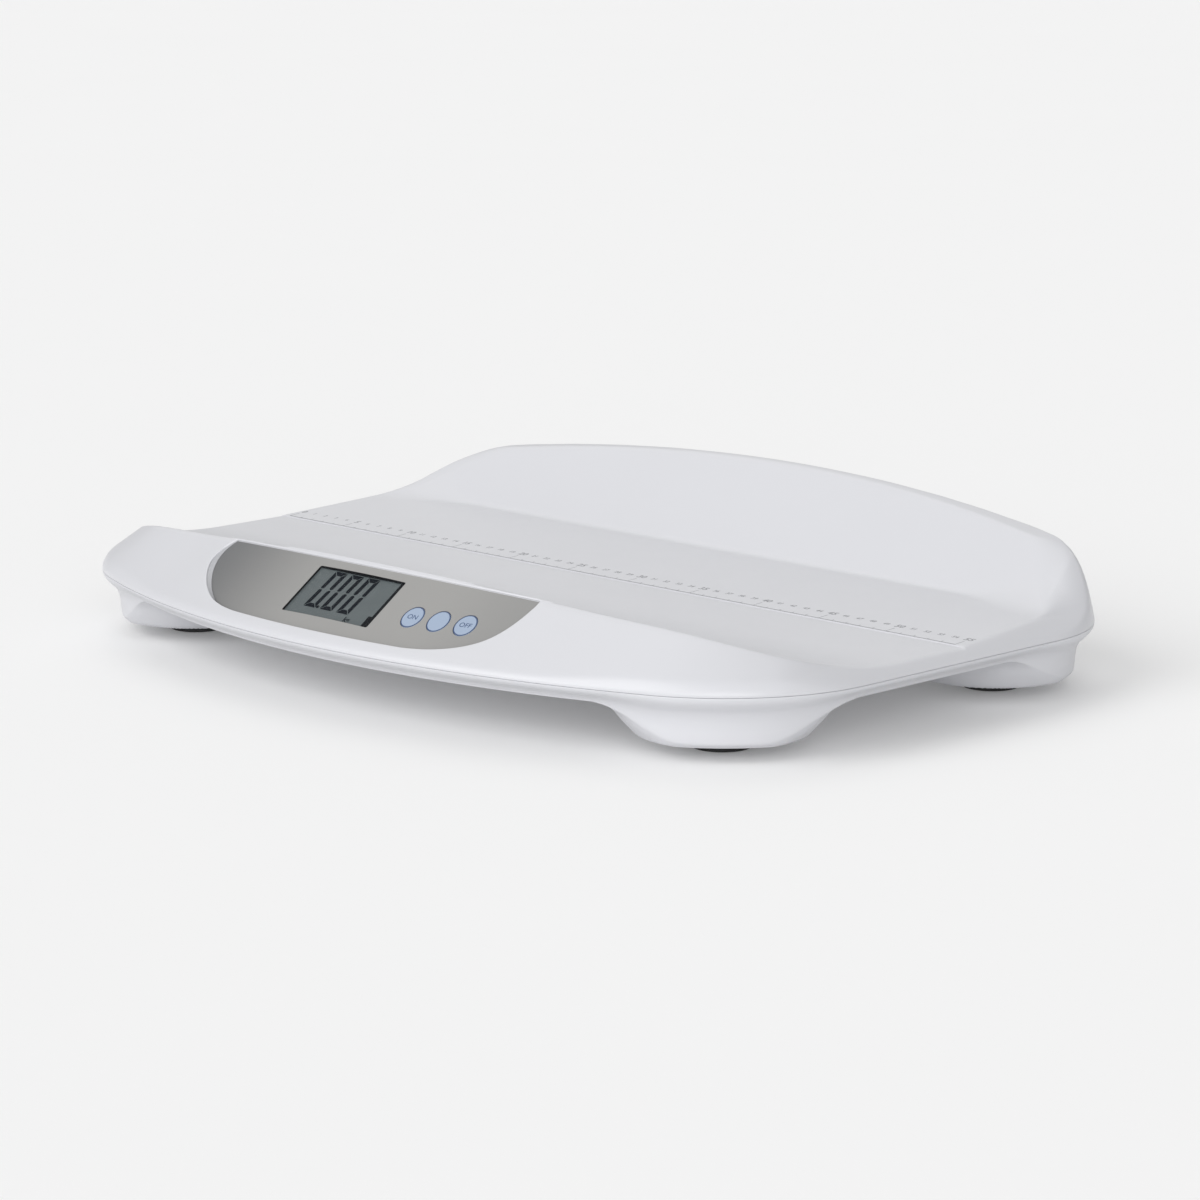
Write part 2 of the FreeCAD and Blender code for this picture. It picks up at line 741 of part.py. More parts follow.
post_spots = ((size["front_post_x"], front_y + size["front_post_end"]),
              (size["half_width"] - size["side_post_side"], size["side_post_y"]),
              (size["back_post_x"], back_y - size["back_post_end"]),
              (size["middle_post_x"], size["middle_post_y"]))
case_posts = [(side * x, y) for x, y in post_spots for side in (-1, 1)]
case_screw_top = size["base_bottom"] + size["case_head_height"] + size["screw_gap"] * 2 \
    + size["case_screw_length"]


RIB_COLUMNS = 10
RIB_ROWS = 4


def rib_lattice(label):
    """Square cells of thin ribs that stiffen the floor of the tray from below."""
    body = new_body(label)
    pitch = size["rib_cell"] + size["rib_thickness"]
    half_x = (RIB_COLUMNS * pitch + size["rib_thickness"]) / 2
    # the flat floor starts behind the middle, so the lattice lies half a cell back
    front = ((1 - RIB_ROWS) * pitch - size["rib_thickness"]) / 2
    back = ((1 + RIB_ROWS) * pitch + size["rib_thickness"]) / 2
    bottom = size["tray_height"] - size["tray_skin"] - size["rib_depth"]
    prism(body, bottom, CLEAR_ABOVE, box_outline, -half_x, front, half_x, back)

    def column(sketch):
        left = -half_x + size["rib_thickness"]
        for row in range(RIB_ROWS):
            low = front + size["rib_thickness"] + row * pitch
            box_outline(sketch, left, low, left + size["rib_cell"], low + size["rib_cell"])

    cells = sink(body, bottom - PAST, CLEAR_ABOVE, column)
    doc.recompute()
    pattern = body.newObject("PartDesign::LinearPattern", "Cells")
    pattern.Originals = [cells]
    pattern.Direction = (cells.Profile[0], ["H_Axis"])
    pattern.Occurrences = RIB_COLUMNS
    bind(pattern, "Length", (RIB_COLUMNS - 1) * pitch)
    body.Tip = pattern
    return body


def make_tray():
    outer = tray_form("TrayOutside", 0)
    round_tray(outer)
    inner = tray_form("TrayInside", size["tray_skin"])
    shell = combine("Cut", "TraySkin", [outer, inner])
    columns = new_body("CaseColumns")
    columns.AllowCompound = True
    prism(columns, size["seam_height"], CLEAR_ABOVE, circles, size["case_boss"], *case_posts)
    lattice = rib_lattice("RibLattice")
    inside = combine("MultiFuse", "InsideRibs", [lattice, columns])
    inside = combine("MultiCommon", "InsideTrimmed", [inside, outer])
    backing = apron_slab("PanelBacking", backing_back, -size["tray_skin"] / 2, size["backing_margin"])
    display = board_posts("DisplayPosts", display_posts(), display_board_top, on_apron(size["window_back"]))
    keys = board_posts("KeyPosts", key_posts(), key_board_top,
                       on_apron(size["button_back"], size["button_turn"].value))
    solid = combine("MultiFuse", "TraySolid", [shell, inside, backing, display, keys])
    recess = apron_slab("PanelRecess", panel_back, above_apron, size["fit_gap"])
    pilots = new_body("CasePilots")
    pilots.AllowCompound = True
    prism(pilots, size["seam_height"] - PAST, case_screw_top, circles,
          size["case_screw"] + size["screw_gap"], *case_posts)
    openings = [
        recess, pilots,
        through_window("FrameOpening", size["frame_wall"] + size["fit_gap"]),
        *through_buttons("ButtonOpening", size["button_gap"]),
        board_pilots("DisplayPilots", display_posts(), display_board_top, on_apron(size["window_back"])),
        board_pilots("KeyPilots", key_posts(), key_board_top,
                     on_apron(size["button_back"], size["button_turn"].value)),
    ]
    tools = combine("Compound", "TrayOpenings", openings)
    return node(combine("Cut", "tray_shell", [solid, tools]))


# ---------------------------------------------------------------- control panel and display

def make_panel():
    sheet_form = apron_slab("PanelSheet", panel_back, panel_top, 0)
    tools = combine("Compound", "PanelOpenings", [
        through_window("WindowOpening", 0), *through_buttons("CapOpening", size["button_gap"])])
    return node(combine("Cut", "control_panel", [sheet_form, tools]))


def make_display_frame():
    body = on_window(new_body("display_frame"))
    half_x, half_y = window_half
    wall, flange = size["frame_wall"], size["frame_flange"]
    back = display_board_top + size["fit_gap"]
    step = back + size["frame_flange_sheet"]
    prism(body, back, step, rectangle, half_x + wall + flange, half_y + wall + flange)
    prism(body, step, frame_top, rectangle, half_x + wall, half_y + wall)
    inside = size["lens_overlap"] + size["lens_gap"]
    sink(body, back - PAST, frame_top + PAST, rectangle, half_x + inside, half_y + inside)
    return node(body)


def make_lens():
    body = on_window(new_body("display_lens"))
    overlap = size["lens_overlap"]
    prism(body, module_top, lens_top, rectangle, window_half[0] + overlap, window_half[1] + overlap)
    return node(body)


def make_display_module():
    body = on_window(new_body("display_module"))
    prism(body, display_board_top, module_top, rectangle, *window_half)
    return node(body)


def make_display_board():
    body = on_window(new_body("display_board"))
    prism(body, display_board_top - size["board_sheet"], display_board_top, rectangle,
          size["display_board_x"], size["display_board_y"])
    sink(body, display_board_top - size["board_sheet"] - PAST, display_board_top + PAST, circles,
         size["small_screw"] + size["screw_gap"], *display_posts())
    return node(body)


def make_key_board():
    board = new_body("key_board")
    prism(board, key_board_top - size["board_sheet"], key_board_top, rectangle,
          size["key_board_x"], size["key_board_y"])
    sink(board, key_board_top - size["board_sheet"] - PAST, key_board_top + PAST, circles,
         size["small_screw"] + size["screw_gap"], *key_posts())
    on_button(board, size["button_turn"].value)
    return node(board)


def make_key_switches():
    """Three push switches, each under its button."""
    body = new_body("key_switches")
    body.AllowCompound = True
    side = size["switch_side"] / 2
    spread = (size["front_arc"] - size["button_back"]) * (size["button_pitch"] * math.pi / 180)
    centres = [(step * spread, 0) for step in (-1, 0, 1)]
    top = key_board_top + size["switch_height"]

    def cases(sketch):
        for x, y in centres:
            box_outline(sketch, x - side, y - side, x + side, y + side)

    case_top = top - size["switch_key"]
    prism(body, key_board_top, case_top, cases)
    prism(body, case_top, top, circles, size["plunger_radius"] - size["button_gap"], *centres)
    on_button(body, size["button_turn"].value)
    return node(body)


def make_button(name, turn):
    """Cap with a flange that keeps it in, and a plunger over its switch."""
    body = on_button(new_body(f"button_{name}"), turn)
    top = panel_top + size["button_proud"]
    flange_top = backing_back - size["button_gap"]
    flange_back = flange_top - size["button_flange_sheet"]
    prism(body, flange_back, top, circle, 0, 0, size["button_radius"])
    prism(body, flange_back, flange_top, circle, 0, 0, size["button_radius"] + size["button_flange"])
    prism(body, flange_back - size["plunger_length"] + size["button_gap"], flange_back, circle, 0, 0,
          size["plunger_radius"])
    doc.recompute()
    return node(body)


# ---------------------------------------------------------------- base

# How far the outer wall draws in, at shares of the height from the bottom of the pods to the seam.
TUCK = ((0, 13.5), (0.07, 11.5), (0.18, 10.8), (0.4, 10.2), (0.57, 9), (0.7, 7), (0.81, 3.8), (0.92, 1))

pods = [(f"{end}_{name}", side * (size["half_width"] - size[f"{end}_pod_side"]), y)
        for end, y in (("front", front_y + size["front_pod_end"]), ("back", back_y - size["back_pod_end"]))
        for name, side in LEFT_RIGHT]


def pod_form(body, skin):
    """Flared round pod, turned about its own axis and open at the top."""
    floor = size["pod_bottom"] + skin
    radius = size["pod_radius"] - skin
    corner = size["pod_round"]
    waist = size["pod_waist_radius"] - skin
    top = size["base_bottom"] + skin
    sketch = new_sketch(body, "XZ_Plane")
    profile(sketch, (0, floor), [
        (radius - corner, floor), (radius, floor + corner, corner), (waist, size["pod_waist_height"] + skin),
        (waist + size["pod_flare"], top, -size["pod_flare_radius"]),
        (waist + size["pod_flare"], top + size["base_skin"] / 2), (0, top + size["base_skin"] / 2),
        (0, floor)])
    doc.recompute()
    revolution = body.newObject("PartDesign::Revolution", "Pod")
    revolution.Profile = sketch
    revolution.ReferenceAxis = (sketch, ["V_Axis"])
    revolution.Angle = 360


def base_form(label, skin):
    """Outer form of the base: a shallow rounded dish standing on four round pods."""
    skin = as_size(skin)
    seam = size["seam_height"]
    dish = new_body(f"{label}Dish")
    rise = seam - size["pod_bottom"]
    outline_loft(dish, [(size["pod_bottom"] + share * rise, skin + inset, skin + inset)
                        for share, inset in TUCK] + [(seam, skin, skin)])
    if skin.value > 0:
        prism(dish, seam, seam + skin, outline, skin, skin)
    parts = []
    for name, x, y in pods:
        pod = new_body(f"{label}Pod{name.title()}")
        pod_form(pod, skin)
        bind(pod, "Placement.Base.x", x)
        bind(pod, "Placement.Base.y", y)
        parts.append(pod)
    slab = new_body(f"{label}Slab")
    reach = 2 * size["half_width"]
    prism(slab, size["base_bottom"] + skin, seam + skin, box_outline, -reach, -reach, reach, reach)
    everything = combine("MultiFuse", f"{label}Blank", [slab, *parts])
    return combine("MultiCommon", label, [everything, dish])


bay_back = front_y + size["bay_reach"]
bay_front = bay_back - size["bay_width"]
bay_middle = bay_back - size["bay_width"] / 2
battery_row = size["battery_radius"] + size["battery_gap"] / 2
contact_x = size["battery_length"] + size["spring_length"]
bay_half = contact_x + size["bay_end"]
battery_z = size["base_bottom"] + size["door_sheet"] + size["battery_clear"] + size["battery_radius"]
bay_top = battery_z + size["battery_radius"] + size["fit_gap"]
holder_top = size["pod_bottom"] + size["cup_height"] + size["stem_height"] + size["cell_sheet"]
floor_top = size["base_bottom"] + size["base_skin"]
pod_floor = size["pod_bottom"] + size["base_skin"]


def make_base():
    outside = base_form("BaseOutside", 0)
    inside = base_form("BaseInside", size["base_skin"])
    shell = combine("Cut", "BaseSkin", [outside, inside])
    seats = new_body("HolderPosts")
    seats.AllowCompound = True
    screw_x = size["holder_screw_x"]
    post_centres = [(x + side * screw_x, y) for name, x, y in pods for side in (-1, 1)]
    prism(seats, pod_floor - PAST, holder_top, circles, size["post_radius"], *post_centres)
    columns = new_body("BaseColumns")
    columns.AllowCompound = True
    prism(columns, size["base_bottom"], size["seam_height"], circles, size["case_boss"], *case_posts)
    bay = new_body("BayWalls")
    wall = size["bay_wall"]
    prism(bay, size["base_bottom"], bay_top + wall, box_outline, -bay_half - wall, bay_front - wall,
          bay_half + wall, bay_back + wall)
    solid = combine("MultiFuse", "BaseSolid", [shell, seats, columns, bay])

    cavity = new_body("BayCavity")
    prism(cavity, size["base_bottom"] - PAST, bay_top, box_outline, -bay_half, bay_front, bay_half,
          bay_back)
    slots = new_body("HookSlots")
    slots.AllowCompound = True
    slot_half = size["hook_width"] / 2 + size["door_gap"]

    def hook_slots(sketch):
        for side in (-1, 1):
            middle = side * size["hook_x"]
            box_outline(sketch, middle - slot_half, bay_back - PAST, middle + slot_half,
                        bay_back + wall + PAST)

    prism(slots, floor_top, floor_top + 2 * size["hook_lift"] + size["hook_sheet"], hook_slots)
    feet = new_body("FootHoles")
    feet.AllowCompound = True
    prism(feet, 0, pod_floor + PAST, circles, size["pad_radius"] + size["cup_gap"] + size["fit_gap"],
          *[(x, y) for name, x, y in pods])
    heads = new_body("CaseHeadHoles")
    heads.AllowCompound = True
    head_seat = size["base_bottom"] + size["case_head_height"] + 2 * size["screw_gap"]
    prism(heads, size["base_bottom"] - PAST, head_seat, circles, size["case_head"] + size["fit_gap"],
          *case_posts)
    prism(heads, head_seat, size["seam_height"] + PAST, circles, size["case_screw"] + size["fit_gap"],
          *case_posts)
    threads = new_body("HolderPilots")
    threads.AllowCompound = True
    prism(threads, pod_floor + PAST, holder_top + PAST, circles, size["case_screw"] + size["screw_gap"],
          *post_centres)
    tools = combine("Compound", "BaseOpenings", [cavity, slots, feet, heads, threads])
    return node(combine("Cut", "base_shell", [solid, tools]))


def make_foot(name, x, y):
    """Rubber pad, the cup that it is glued to, the load cell on the cup's stem, and its holder."""
    pad = new_body(f"foot_pad_{name}")
    thickness, radius = size["pad_thickness"], size["pad_radius"]
    edge = size["pad_edge"]
    turned(pad, [(0, 0), (radius - edge, 0), (radius, edge), (radius, thickness), (0, thickness)])

    cup = new_body(f"foot_cup_{name}")
    top = thickness + size["cup_height"]
    stem_top = top + size["stem_height"]
    flange = top - size["cup_sheet"]
    turned(cup, [(0, thickness), (radius, thickness), (radius, flange), (radius + size["cup_flange"], flange),
                 (radius + size["cup_flange"], top), (size["stem_radius"], top),
                 (size["stem_radius"], stem_top), (0, stem_top)])

    cell = new_body(f"load_cell_{name}")
    half = size["cell_side"] / 2
    prism(cell, stem_top, holder_top, rectangle, half, half)
    # the tongue in the middle stays joined at one end only
    inner = size["tongue_half"]
    outer = inner + size["tongue_slot"]
    front, back = -size["tongue_front"], size["tongue_back"]
    tip = back - size["tongue_slot"]
    sink(cell, stem_top - PAST, holder_top + PAST, polygon, [
        (-outer, front), (-inner, front), (-inner, tip), (inner, tip),
        (inner, front), (outer, front), (outer, back), (-outer, back)])

    holder = new_body(f"cell_holder_{name}")
    sheet_top = holder_top + size["holder_sheet"]
    half_x, half_y = size["holder_x"], size["holder_y"]
    prism(holder, holder_top, sheet_top, rounded_box, -half_x, -half_y, half_x, half_y, size["holder_corner"])
    screw_x = size["holder_screw_x"]
    # room for the tongue to bend
    sink(holder, holder_top - PAST, holder_top + size["cell_sheet"], rectangle, outer, back)
    sink(holder, holder_top - PAST, sheet_top + PAST, circles, size["case_screw"] + size["fit_gap"],
         (-screw_x, 0), (screw_x, 0))
    for item in (pad, cup, cell, holder):
        bind(item, "Placement.Base.x", x)
        bind(item, "Placement.Base.y", y)
        node(item)


# ---------------------------------------------------------------- battery bay

def make_door():
    """Flat door with two hooks at its back edge, which lie behind the edge of the bay."""
    body = new_body("battery_door")
    gap, sheet_top = size["door_gap"], size["base_bottom"] + size["door_sheet"]
    back = bay_back - gap
    half = bay_half - gap
    prism(body, size["base_bottom"], sheet_top, box_outline, -half, bay_front + gap, half, back)
    hook_top = floor_top + gap + size["hook_sheet"]
    half_hook = size["hook_width"] / 2
    web_front = back - size["web_front"]

    def webs(sketch):
        for side in (-1, 1):
            middle = side * size["hook_x"]
            box_outline(sketch, middle - half_hook, web_front, middle + half_hook, back - size["web_back"])

    def hooks(sketch):
        for side in (-1, 1):
            middle = side * size["hook_x"]
            box_outline(sketch, middle - half_hook, web_front, middle + half_hook, back + size["hook_reach"])

    prism(body, sheet_top, hook_top, webs)
    prism(body, floor_top + gap, hook_top, hooks)
    # finger hollow by the front edge
    grip_front = bay_front + gap + size["grip_start"]
    sink(body, size["base_bottom"] - PAST, size["base_bottom"] + size["grip_depth"], box_outline,
         -size["grip_half"], grip_front, size["grip_half"], grip_front + size["grip_width"])
    return node(body)


def make_batteries():
    length, radius = size["battery_length"], size["battery_radius"]
    case_end = length - size["tip_length"]
    for row, y_side in (("front", -1), ("back", 1)):
        for name, side in LEFT_RIGHT:
            body = new_body(f"battery_{row}_{name}")
            turned(body, [(0, 0), (radius, 0), (radius, case_end), (size["tip_radius"], case_end),
                          (size["tip_radius"], length), (0, length)])
            body.Placement = FreeCAD.Placement(
                FreeCAD.Vector(0 if side > 0 else -length.value, 0, 0),
                FreeCAD.Rotation(FreeCAD.Vector(0, 1, 0), 90))
            bind(body, "Placement.Base.y", bay_middle + y_side * battery_row)
            bind(body, "Placement.Base.z", battery_z)
            node(body)


def make_contacts():
    """Plates at both ends of the bay, each with a spring cone or a pressed pip."""
    parts = []
    half, coil = size["contact_half"], size["spring_radius"]
    plate, base = size["contact_sheet"], size["spring_base"]
    for row, y_side in (("Front", -1), ("Back", 1)):
        for name, side in LEFT_RIGHT:
            body = new_body(f"Contact{row}{name.title()}")
            prism(body, 0, plate, rectangle, half, half)
            reach = size["spring_length"]
            turned(body, [(0, 0), (coil, 0), (coil, base), (half / 2, reach), (0, reach)])
            body.Placement = FreeCAD.Placement(
                FreeCAD.Vector(side * contact_x.value, 0, 0),
                FreeCAD.Rotation(FreeCAD.Vector(0, 1, 0), -side * 90))
            bind(body, "Placement.Base.y", bay_middle + y_side * battery_row)
            bind(body, "Placement.Base.z", battery_z)
            parts.append(body)
    return node(combine("Compound", "battery_contacts", parts))


# ---------------------------------------------------------------- fasteners

def screw(label, head, head_height, shank, length):
    """Screw with its head under XY and its shank pointing up."""
    body = new_body(label)
    turned(body, [(0, 0), (head, 0), (head, head_height), (shank, head_height),
                  (shank, head_height + length - shank), (0, head_height + length)])
    return body


def make_case_screws():
    parts = []
    for number, (x, y) in enumerate(case_posts, start=1):
        body = screw(f"CaseScrew{number}", size["case_head"], size["case_head_height"], size["case_screw"],
                     size["case_screw_length"])
        bind(body, "Placement.Base.x", x)
        bind(body, "Placement.Base.y", y)
        bind(body, "Placement.Base.z", size["base_bottom"] + 2 * size["screw_gap"])
        parts.append(body)
    return node(combine("Compound", "case_screws", parts))


def make_holder_screws():
    parts = []
    for number, (name, x, y) in enumerate(pods, start=1):
        for side in (-1, 1):
            body = screw(f"HolderScrew{number}{'LR'[side > 0]}", size["case_head"], size["case_head_height"],
                         size["case_screw"], size["case_screw_length"] - size["holder_sheet"])
            place = FreeCAD.Placement(FreeCAD.Vector(), FreeCAD.Rotation(FreeCAD.Vector(1, 0, 0), 180))
            body.Placement = place
            bind(body, "Placement.Base.x", x + side * size["holder_screw_x"])
            bind(body, "Placement.Base.y", y)
            bind(body, "Placement.Base.z", holder_top + size["holder_sheet"] + size["case_head_height"])
            parts.append(body)
    return node(combine("Compound", "holder_screws", parts))


def make_board_screws():
    parts = []
    boards = (("Display", display_posts(), display_board_top, on_apron(size["window_back"])),
              ("Key", key_posts(), key_board_top, on_apron(size["button_back"], size["button_turn"].value)))
    for label, posts, board_top, place in boards:
        for number, (x, y) in enumerate(posts, start=1):
            body = screw(f"{label}Screw{number}", size["small_head"], size["small_head_height"],
                         size["small_screw"], size["small_screw_length"])
            head = board_top - size["board_sheet"] - size["small_head_height"]
            shift = FreeCAD.Vector(as_size(x).value, as_size(y).value, head.value)
            body.Placement = place.multiply(FreeCAD.Placement(shift, FreeCAD.Rotation()))
            parts.append(body)
    return node(combine("Compound", "board_screws", parts))


# ---------------------------------------------------------------- whole scale

def make_scale():
    make_tray()
    make_base()
    make_panel()
    make_display_frame()
    make_lens()
    make_display_module()
    make_display_board()
    make_key_board()
    make_key_switches()
    for name, turn in buttons:
        make_button(name, turn)
    for name, x, y in pods:
        make_foot(name, x, y)
    make_door()
    make_batteries()
    make_contacts()
    make_case_screws()
    make_holder_screws()
    make_board_screws()


def check_scale():
    for item in doc.Objects:
        if "Invalid" in item.State or "Error" in item.State:
            raise RuntimeError(f"{item.Label} did not build: {item.State}")
    for item in nodes:
        if item.Shape.isNull() or not item.Shape.isValid():
            raise RuntimeError(f"{item.Label} has no sound shape")


make_scale()
doc.recompute()
check_scale()
os.makedirs("parts", exist_ok=True)
for item in nodes:
    item.Shape.exportStep(f"parts/{item.Label}.step")
    print(item.Label, len(item.Shape.Solids), "solid(s),", round(item.Shape.Volume), "mm3")
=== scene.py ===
from math import acos, atan, atan2, cos, dist, hypot, pi, radians, sin, sqrt, tan

import bpy
import numpy as np
from mathutils import Matrix, Vector


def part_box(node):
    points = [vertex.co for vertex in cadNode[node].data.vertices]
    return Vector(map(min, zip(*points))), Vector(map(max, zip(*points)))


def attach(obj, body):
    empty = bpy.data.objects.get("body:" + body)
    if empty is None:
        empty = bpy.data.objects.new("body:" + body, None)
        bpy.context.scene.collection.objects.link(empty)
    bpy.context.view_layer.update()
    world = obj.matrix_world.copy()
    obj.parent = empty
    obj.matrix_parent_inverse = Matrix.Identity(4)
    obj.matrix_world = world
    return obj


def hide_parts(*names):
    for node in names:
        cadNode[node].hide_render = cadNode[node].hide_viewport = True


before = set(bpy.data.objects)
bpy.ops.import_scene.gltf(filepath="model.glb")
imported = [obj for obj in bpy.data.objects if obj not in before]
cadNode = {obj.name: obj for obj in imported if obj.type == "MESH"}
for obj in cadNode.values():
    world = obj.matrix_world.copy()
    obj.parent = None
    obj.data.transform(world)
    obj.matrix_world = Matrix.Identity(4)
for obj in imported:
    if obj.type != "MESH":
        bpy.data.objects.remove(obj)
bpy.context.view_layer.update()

mm = 0.001
sides = (("left", -1), ("right", 1))
bpy.context.scene.view_settings.view_transform = "Standard"


class Settings(dict):  # a piece's dictionary of settings, whose values are also read as tray.lip
    __getattr__ = dict.__getitem__


# small tools for node trees

def operator(operation, turned=False):
    return lambda a, b: a.sum(operation, *((b, a) if turned else (a, b)))


class Wire:  # one value in a node tree, which can be used in sums
    def __init__(self, nodes, socket):
        self.nodes = nodes
        self.socket = socket

    def sum(self, operation, *parts):
        return self.nodes.add("ShaderNodeMath", dict(enumerate(parts)), operation=operation)

    def size(self):  # without its sign
        return self.sum("ABSOLUTE", self)

    __add__ = __radd__ = operator("ADD")
    __mul__ = __rmul__ = operator("MULTIPLY")
    __sub__, __rsub__ = operator("SUBTRACT"), operator("SUBTRACT", True)
    __lt__, __gt__ = operator("LESS_THAN"), operator("GREATER_THAN")
    __mod__ = operator("FLOORED_MODULO")


class NodeTree:  # a node tree and the one way in which its nodes are made
    def __init__(self, tree):
        self.tree = tree

    def add(self, kind, inputs=None, output=0, **settings):
        node = self.tree.nodes.new(kind)
        for name, value in settings.items():
            setattr(node, name, value)
        for name, value in (inputs or {}).items():
            socket = node.inputs[name]
            if isinstance(value, Wire):
                self.tree.links.new(value.socket, socket)
            elif socket.type == "RGBA" and len(value) == 3:
                socket.default_value = (*value, 1)
            else:
                socket.default_value = value
        return Wire(self, node.outputs[output]) if len(node.outputs) else node


class Finish(NodeTree):  # a material, with the nodes that most finishes share
    def __init__(self, name):
        self.material = bpy.data.materials.new(name)
        self.material.use_nodes = True
        super().__init__(self.material.node_tree)
        self.tree.nodes.clear()
        self.place = self.add("ShaderNodeTexCoord", output="Object")

    def noise(self, scale, detail=2, rough=0.5, stretch=None):
        place = self.place
        if stretch:
            place = self.add("ShaderNodeMapping", {"Vector": place, "Scale": stretch})
        return self.add("ShaderNodeTexNoise", {
            "Vector": place, "Scale": scale, "Detail": detail, "Roughness": rough})

    def axis(self, name):
        return self.add("ShaderNodeSeparateXYZ", {"Vector": self.place}, output=name)

    def rise(self, value, low, high):  # from 0 at low to 1 at high, eased at both ends
        return self.add("ShaderNodeMapRange", {"Value": value, "From Min": low, "From Max": high},
                        interpolation_type="SMOOTHSTEP")

    def blend(self, share, low, high):
        return self.add("ShaderNodeMix", {0: share, 6: low, 7: high}, 2, data_type="RGBA")

    def surface(self, colour, rough, skin=None, gloss=0.5, more=None):  # skin is (height, strength, distance)
        inputs = {"Base Color": colour, "Roughness": rough, "Specular IOR Level": gloss, **(more or {})}
        if skin:
            inputs["Normal"] = self.add("ShaderNodeBump", dict(zip(("Height", "Strength", "Distance"), skin)))
        shader = self.add("ShaderNodeBsdfPrincipled", inputs)
        self.add("ShaderNodeOutputMaterial", {"Surface": shader})
        return self.material


# finishes

def mouldedPlastic(name, colour, rough, grain=0.03, spread=0.012, gloss=0.5):
    f = Finish(name)  # cloudy tint, fine skin and slight waves
    colour = Vector(colour)
    tint = f.blend(f.noise(7, 3), colour * (1 - spread), colour * (1 + spread))
    skin = f.noise(1400, 2, 0.6) * 0.6 + f.noise(45, 1) * 0.4
    return f.surface(tint, f.noise(60, 3) * 0.07 + (rough - 0.035), (skin, grain, 0.0004), gloss)


def panelSatin():  # metallic print, with painted reflection and shade that make its left end dark and its right end a little darker
    f = Finish("panelSatin")
    # painted reflection and shade: darker towards the right end, and much darker at the left end
    rightEndShade = f.blend(f.rise(f.axis("X"), 0.06, 0.13), (0.3, 0.296, 0.287), (0.255, 0.253, 0.247))
    paintedEndShade = f.blend(f.rise(f.axis("X"), -0.145, -0.02), (0.112, 0.115, 0.12), rightEndShade)
    fleck = f.noise(2600, 2, 0.7)
    return f.surface(f.blend(fleck * 0.2, paintedEndShade, (0.4, 0.4, 0.4)), fleck * 0.12 + 0.34, (fleck, 0.05, 0.0002),
                     more={"Metallic": 0.25})


def displayGlass():
    f = Finish("displayGlass")
    tint = f.blend(f.noise(120, 2), (0.074, 0.09, 0.094), (0.09, 0.107, 0.111))
    return f.surface(tint, 0.32, (f.noise(3000, 1), 0.01, 0.0001), 0.3)


def clearLens():
    f = Finish("clearLens")
    haze = f.noise(90, 2)
    return f.surface((0.5, 0.52, 0.53), haze * 0.04 + 0.06, gloss=0.1, more={"Alpha": haze * 0.006 + 0.002})


def printedInk(name, colour, rough=0.45, gloss=0.5):
    f = Finish(name)
    wear = f.noise(700, 3, 0.7)
    colour = Vector(colour)
    return f.surface(f.blend(wear, colour * 0.92, colour * 1.08), wear * 0.1 + (rough - 0.05), gloss=gloss)


def rubber():
    f = Finish("rubber")
    grain = f.noise(1100, 4, 0.75)
    dust = f.blend(f.noise(60, 3), (0.012, 0.012, 0.013), (0.03, 0.03, 0.031))
    return f.surface(dust, grain * 0.2 + 0.65, (grain, 0.3, 0.0003))


def metal(name, colour, rough, lines=None):
    f = Finish(name)
    marks = f.noise(500, 3, 0.6, lines)
    colour = Vector(colour)
    return f.surface(f.blend(marks, colour * 0.9, colour), marks * 0.18 + (rough - 0.09), (marks, 0.06, 0.0001),
                     more={"Metallic": 1.0})


def circuitBoard():
    f = Finish("circuitBoard")
    tracks = f.add("ShaderNodeTexVoronoi", {"Vector": f.place, "Scale": 420}, distance="MANHATTAN") < 0.32
    return f.surface(f.blend(tracks, (0.012, 0.12, 0.05), (0.03, 0.2, 0.09)), 0.35, (tracks, 0.2, 0.0001))


def cellWrap():
    f = Finish("cellWrap")
    band = (f.axis("X").size() > 0.033) * 1.0  # copper band round the outer end
    tint = f.blend(band, (0.05, 0.055, 0.065), (0.45, 0.3, 0.16))
    return f.surface(tint, f.noise(300, 2) * 0.1 + 0.25, more={"Metallic": band * 0.7})


white = mouldedPlastic("whiteShell", (0.573, 0.577, 0.604), 0.34)
paleWhite = mouldedPlastic("whiteBase", (0.573, 0.577, 0.604), 0.4)
doorWhite = mouldedPlastic("doorWhite", (0.565, 0.57, 0.597), 0.45, 0.05)
# white plastic darkened by painted shade, for the walls of the recess round the panel
recessWhite = mouldedPlastic("recessWhite", (0.38, 0.385, 0.405), 0.42)
panelGrey = panelSatin()
frameBlack = mouldedPlastic("frameBlack", (0.013, 0.013, 0.015), 0.4, 0.05, 0.05, 0.4)
lensClear = clearLens()
glassGrey = displayGlass()
segmentInk = printedInk("segmentInk", (0.004, 0.006, 0.01), 0.7, 0.1)
# near-black ink for the display's painted shadow strips and its printed corner mark
maskInk = printedInk("maskInk", (0.006, 0.007, 0.009), 0.7, 0.1)
rulerInk = printedInk("rulerInk", (0.24, 0.245, 0.26))
buttonBlue = mouldedPlastic("buttonBlue", (0.29, 0.36, 0.475), 0.4, 0.02)
buttonInk = printedInk("buttonInk", (0.035, 0.065, 0.15))
padRubber = rubber()
boardGreen = circuitBoard()
screwSteel = metal("screwSteel", (0.5, 0.5, 0.5), 0.34)
springSteel = metal("springSteel", (0.62, 0.6, 0.56), 0.26)
cellSteel = metal("cellSteel", (0.55, 0.55, 0.56), 0.36, (1, 12, 1))
switchBlack = mouldedPlastic("switchBlack", (0.02, 0.02, 0.02), 0.45, 0.05, 0.05, 0.4)
wrap = cellWrap()
tinPlate = metal("tinPlate", (0.7, 0.69, 0.66), 0.24)
print("finishes made")


# small tools for pieces

def addObject(name, data):
    holder = bpy.data.objects.new(name, data)
    bpy.context.scene.collection.objects.link(holder)
    return holder


